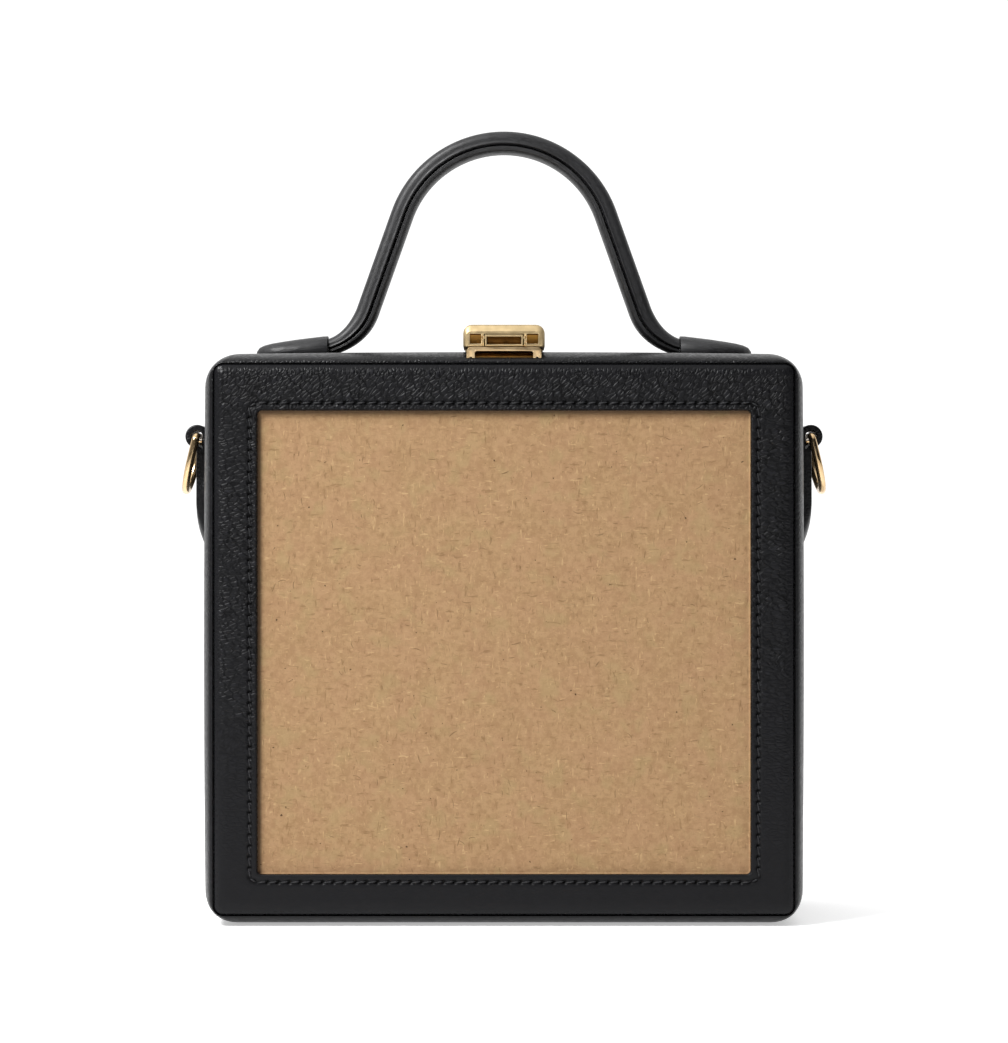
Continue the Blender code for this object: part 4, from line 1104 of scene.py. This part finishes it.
# The lever: a rounded rim round a sunk, ribbed plate, on two short trunnions.
def claspLever(look):
    low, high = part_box("clasp_lever")
    half = (high.x - low.x) / 2 - look["trunnion"]
    wide, tall = look["cells"]
    shape = bmesh.new()

    def depthAt(edge, z):
        if edge < look["rimRound"]:
            fall = 1 - edge / look["rimRound"]
            return look["rimRound"] * (1 - math.sqrt(1 - fall * fall))
        down = min(max((edge - look["rim"]) / look["rimSlope"], 0.0), 1.0)
        ribs = look["rib"] * abs(math.sin(math.pi * (z - low.z) / look["ribPitch"])) if down == 1.0 else 0.0
        return look["dish"] * down * down * (3 - 2 * down) - ribs

    front, back = [], []
    for i in range(tall + 1):
        z = low.z + (high.z - low.z) * i / tall
        row = []
        for j in range(wide + 1):
            x = -half + 2 * half * j / wide
            edge = min(x + half, half - x, z - low.z, high.z - z)
            row.append(shape.verts.new((x, low.y + depthAt(edge, z), z)))
        front.append(row)
        back.append([shape.verts.new((v.co.x, high.y, v.co.z)) for v in (row[0], row[-1])])
    for i in range(tall):
        for j in range(wide):
            face = shape.faces.new((front[i][j], front[i][j + 1], front[i + 1][j + 1], front[i + 1][j]))
            x, _, z = face.calc_center_median()
            edge = min(x + half, half - x, z - low.z, high.z - z)
            # The sunk dish gets the darkest plating, painted as shade.
            face.material_index = 1 if edge > look["rim"] + look["dullFrom"] * look["rimSlope"] else 0
        shape.faces.new((front[i][0], front[i + 1][0], back[i + 1][0], back[i][0]))
        shape.faces.new((front[i][-1], back[i][1], back[i + 1][1], front[i + 1][-1]))
        shape.faces.new((back[i][0], back[i + 1][0], back[i + 1][1], back[i][1]))
    shape.faces.new(front[0] + [back[0][1], back[0][0]])
    shape.faces.new(front[-1] + [back[-1][1], back[-1][0]])
    bmesh.ops.recalc_face_normals(shape, faces=shape.faces)
    axis = (low.y + high.y) / 2, high.z - (high.y - low.y) / 2
    for side in (-1, 1):
        made = bmesh.ops.create_cone(shape, cap_ends=True, segments=look["pinSides"], radius1=look["pin"],
                                     radius2=look["pin"], depth=2 * look["trunnion"])
        for vertex in made["verts"]:
            x, y, z = vertex.co
            vertex.co = (side * half + z, axis[0] + x, axis[1] + y)
    mesh = smoothed(meshOf("claspLever", shape), look["leverSharp"])
    return addPiece("claspLever", mesh, "lever", [gold, dishShadeGold], ["clasp_lever"])


# Two columns of beads on each cheek of the housing, beside the lever.
def claspBeads(look):
    leverLow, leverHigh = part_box("clasp_lever")
    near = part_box("clasp_housing")[0].y
    middle = leverHigh.x - look["trunnion"] + box["gap"] + look["cheek"] / 2
    around, along = look["beadSides"]
    shape = bmesh.new()
    for side in (-1, 1):
        for column in (-1, 1):
            for i in range(look["beadRows"]):
                z = leverLow.z + (leverHigh.z - leverLow.z) * (i + 0.5) / look["beadRows"]
                spot = Vector((side * (middle + column * look["beadSpread"]), near + look["beadSink"], z))
                made = bmesh.ops.create_uvsphere(shape, u_segments=around, v_segments=along,
                                                 radius=look["bead"])
                for vertex in made["verts"]:
                    vertex.co += spot
    mesh = smoothed(meshOf("claspBeads", shape))
    return addPiece("claspBeads", mesh, "case", [gold])


# A thin plate on the leather under the keeper's bridge.
def keeperBed(look):
    low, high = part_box("clasp_keeper")
    verts, faces = [], []
    steps = look["bedSteps"]
    for i in range(steps + 1):
        y = low.y + look["bedInset"] + (high.y - low.y - 2 * look["bedInset"]) * i / steps
        turn = math.acos(1 - (y - frontY - box["noseDepth"]) / box["shoulderDepth"])
        outset = box["groove"] + (box["shoulderRise"] - box["groove"]) * math.sin(turn)
        z = panelHigh + outset + box["topBulge"] * outset / box["shoulderRise"]
        for side, lift in ((-1, "bedTop"), (1, "bedTop"), (1, "bedUnder"), (-1, "bedUnder")):
            verts.append((side * look["bedHalf"], y, z + look[lift] * box["gap"]))
    for i in range(steps):
        base = 4 * i
        faces += [(base + k, base + (k + 1) % 4, base + 4 + (k + 1) % 4, base + 4 + k) for k in range(4)]
    faces += [(3, 2, 1, 0), tuple(4 * steps + k for k in range(4))]
    mesh = smoothed(plainMesh("keeperBed", verts, faces), look["bedSharp"])
    return addPiece("keeperBed", mesh, "lid", [dullGoldAndShade])


claspHousing(claspLook)
claspLever(claspLook)
claspBeads(claspLook)
keeperBed(claspLook)
softened("claspKeeper", "clasp_keeper", "lid", claspLook["fineEdge"], keeperGold)
softened("hingeLid", "hinge_leaf_lid", "lid", claspLook["fineEdge"], gold, 40.0)
softened("hingeBody", "hinge_leaf_body", "case", claspLook["fineEdge"], gold, 40.0)

print("the floor, the light and the camera")
stageLook = {
    "floorSize": 60.0, "floor": "f2f2f2", "floorGlow": 0.50,
    "skyFront": 0.03, "skyBack": 1.15, "skyUp": 1.15, "skyLeft": 0.16, "skyRight": -0.02,
    "backBlend": (-0.3, 0.75), "upBlend": (0.5, 1.0), "sideBlend": (-0.9, 0.9), "behindBlend": (0.3, 0.7),
    "keyPower": 2.1, "keySize": 0.30, "keyPlace": (-0.50, -0.46, 0.76), "keySpread": 70.0,
    "topPower": 0.35, "topSize": 0.6, "topPlace": (-0.1, 0.05, 0.95), "lightTarget": (0, 0, 0.1),
}


# A pale acrylic table, faintly lit from below as for catalogue pictures, so that shadows on it stay light.
def makeFloor(look):
    half = look["floorSize"] / 2
    corners = [(-half, -half, 0), (half, -half, 0), (half, half, 0), (-half, half, 0)]
    mesh = plainMesh("floor", corners, [(0, 1, 2, 3)])
    floor = placed("floor", mesh)
    material, _, shader = newMaterial("paleAcrylic", Roughness=0.9, Specular_IOR_Level=0.1)
    for socket in ("Base Color", "Emission Color"):
        shader.inputs[socket].default_value = hexColour(look["floor"])
    shader.inputs["Emission Strength"].default_value = look["floorGlow"]
    mesh.materials.append(material)


# The room: white behind and above the bag, dimmer behind the camera and to the right, so that black leather
# keeps its depth and gold its contrast.
def makeSky(look):
    world = bpy.data.worlds.new("studio")
    world.use_nodes = True
    tree = world.node_tree
    place = addNode(tree, "TexCoord").outputs["Generated"]
    parts = addNode(tree, "SeparateXYZ", links={0: place})
    back = remap(tree, parts.outputs["Y"], *look["backBlend"], look["skyFront"], look["skyBack"])
    up = remap(tree, parts.outputs["Z"], *look["upBlend"], 0.0, look["skyUp"])
    side = remap(tree, parts.outputs["X"], *look["sideBlend"], look["skyLeft"], look["skyRight"])
    notBehind = remap(tree, parts.outputs["Y"], *look["behindBlend"], 1.0, 0.0)
    level = maths(tree, "ADD", maths(tree, "MAXIMUM", back, up), maths(tree, "MULTIPLY", side, notBehind))
    background = tree.nodes["Background"]
    background.inputs["Color"].default_value = (1, 1, 1, 1)
    tree.links.new(level, background.inputs["Strength"])
    bpy.context.scene.world = world


def softLight(name, place, target, size, power, spread=180.0):
    light = bpy.data.lights.new(name, "AREA")
    light.spread = math.radians(spread)
    light.shape, light.size, light.energy = "SQUARE", size, power
    lamp = placed(name, light)
    lamp.location = place
    lamp.rotation_euler = (Vector(target) - Vector(place)).to_track_quat("-Z", "Y").to_euler()


def makeCamera(look):
    data = bpy.data.cameras.new("camera")
    data.sensor_width = look["sensor"]
    data.lens = look["sensor"] * look["focalPixels"] / look["longSidePixels"]
    eye = placed("camera", data)
    eye.location = (0.0, -look["distance"], look["height"])
    eye.rotation_euler = (math.radians(90), 0, 0)
    bpy.context.scene.camera = eye


makeFloor(stageLook)
makeSky(stageLook)
softLight("key", stageLook["keyPlace"], stageLook["lightTarget"], stageLook["keySize"], stageLook["keyPower"],
          stageLook["keySpread"])
softLight("top", stageLook["topPlace"], stageLook["lightTarget"], stageLook["topSize"], stageLook["topPower"])
makeCamera(camera)

# White stays white in the picture, as in the photograph.
bpy.context.scene.view_settings.view_transform = "Standard"

bpy.context.view_layer.update()
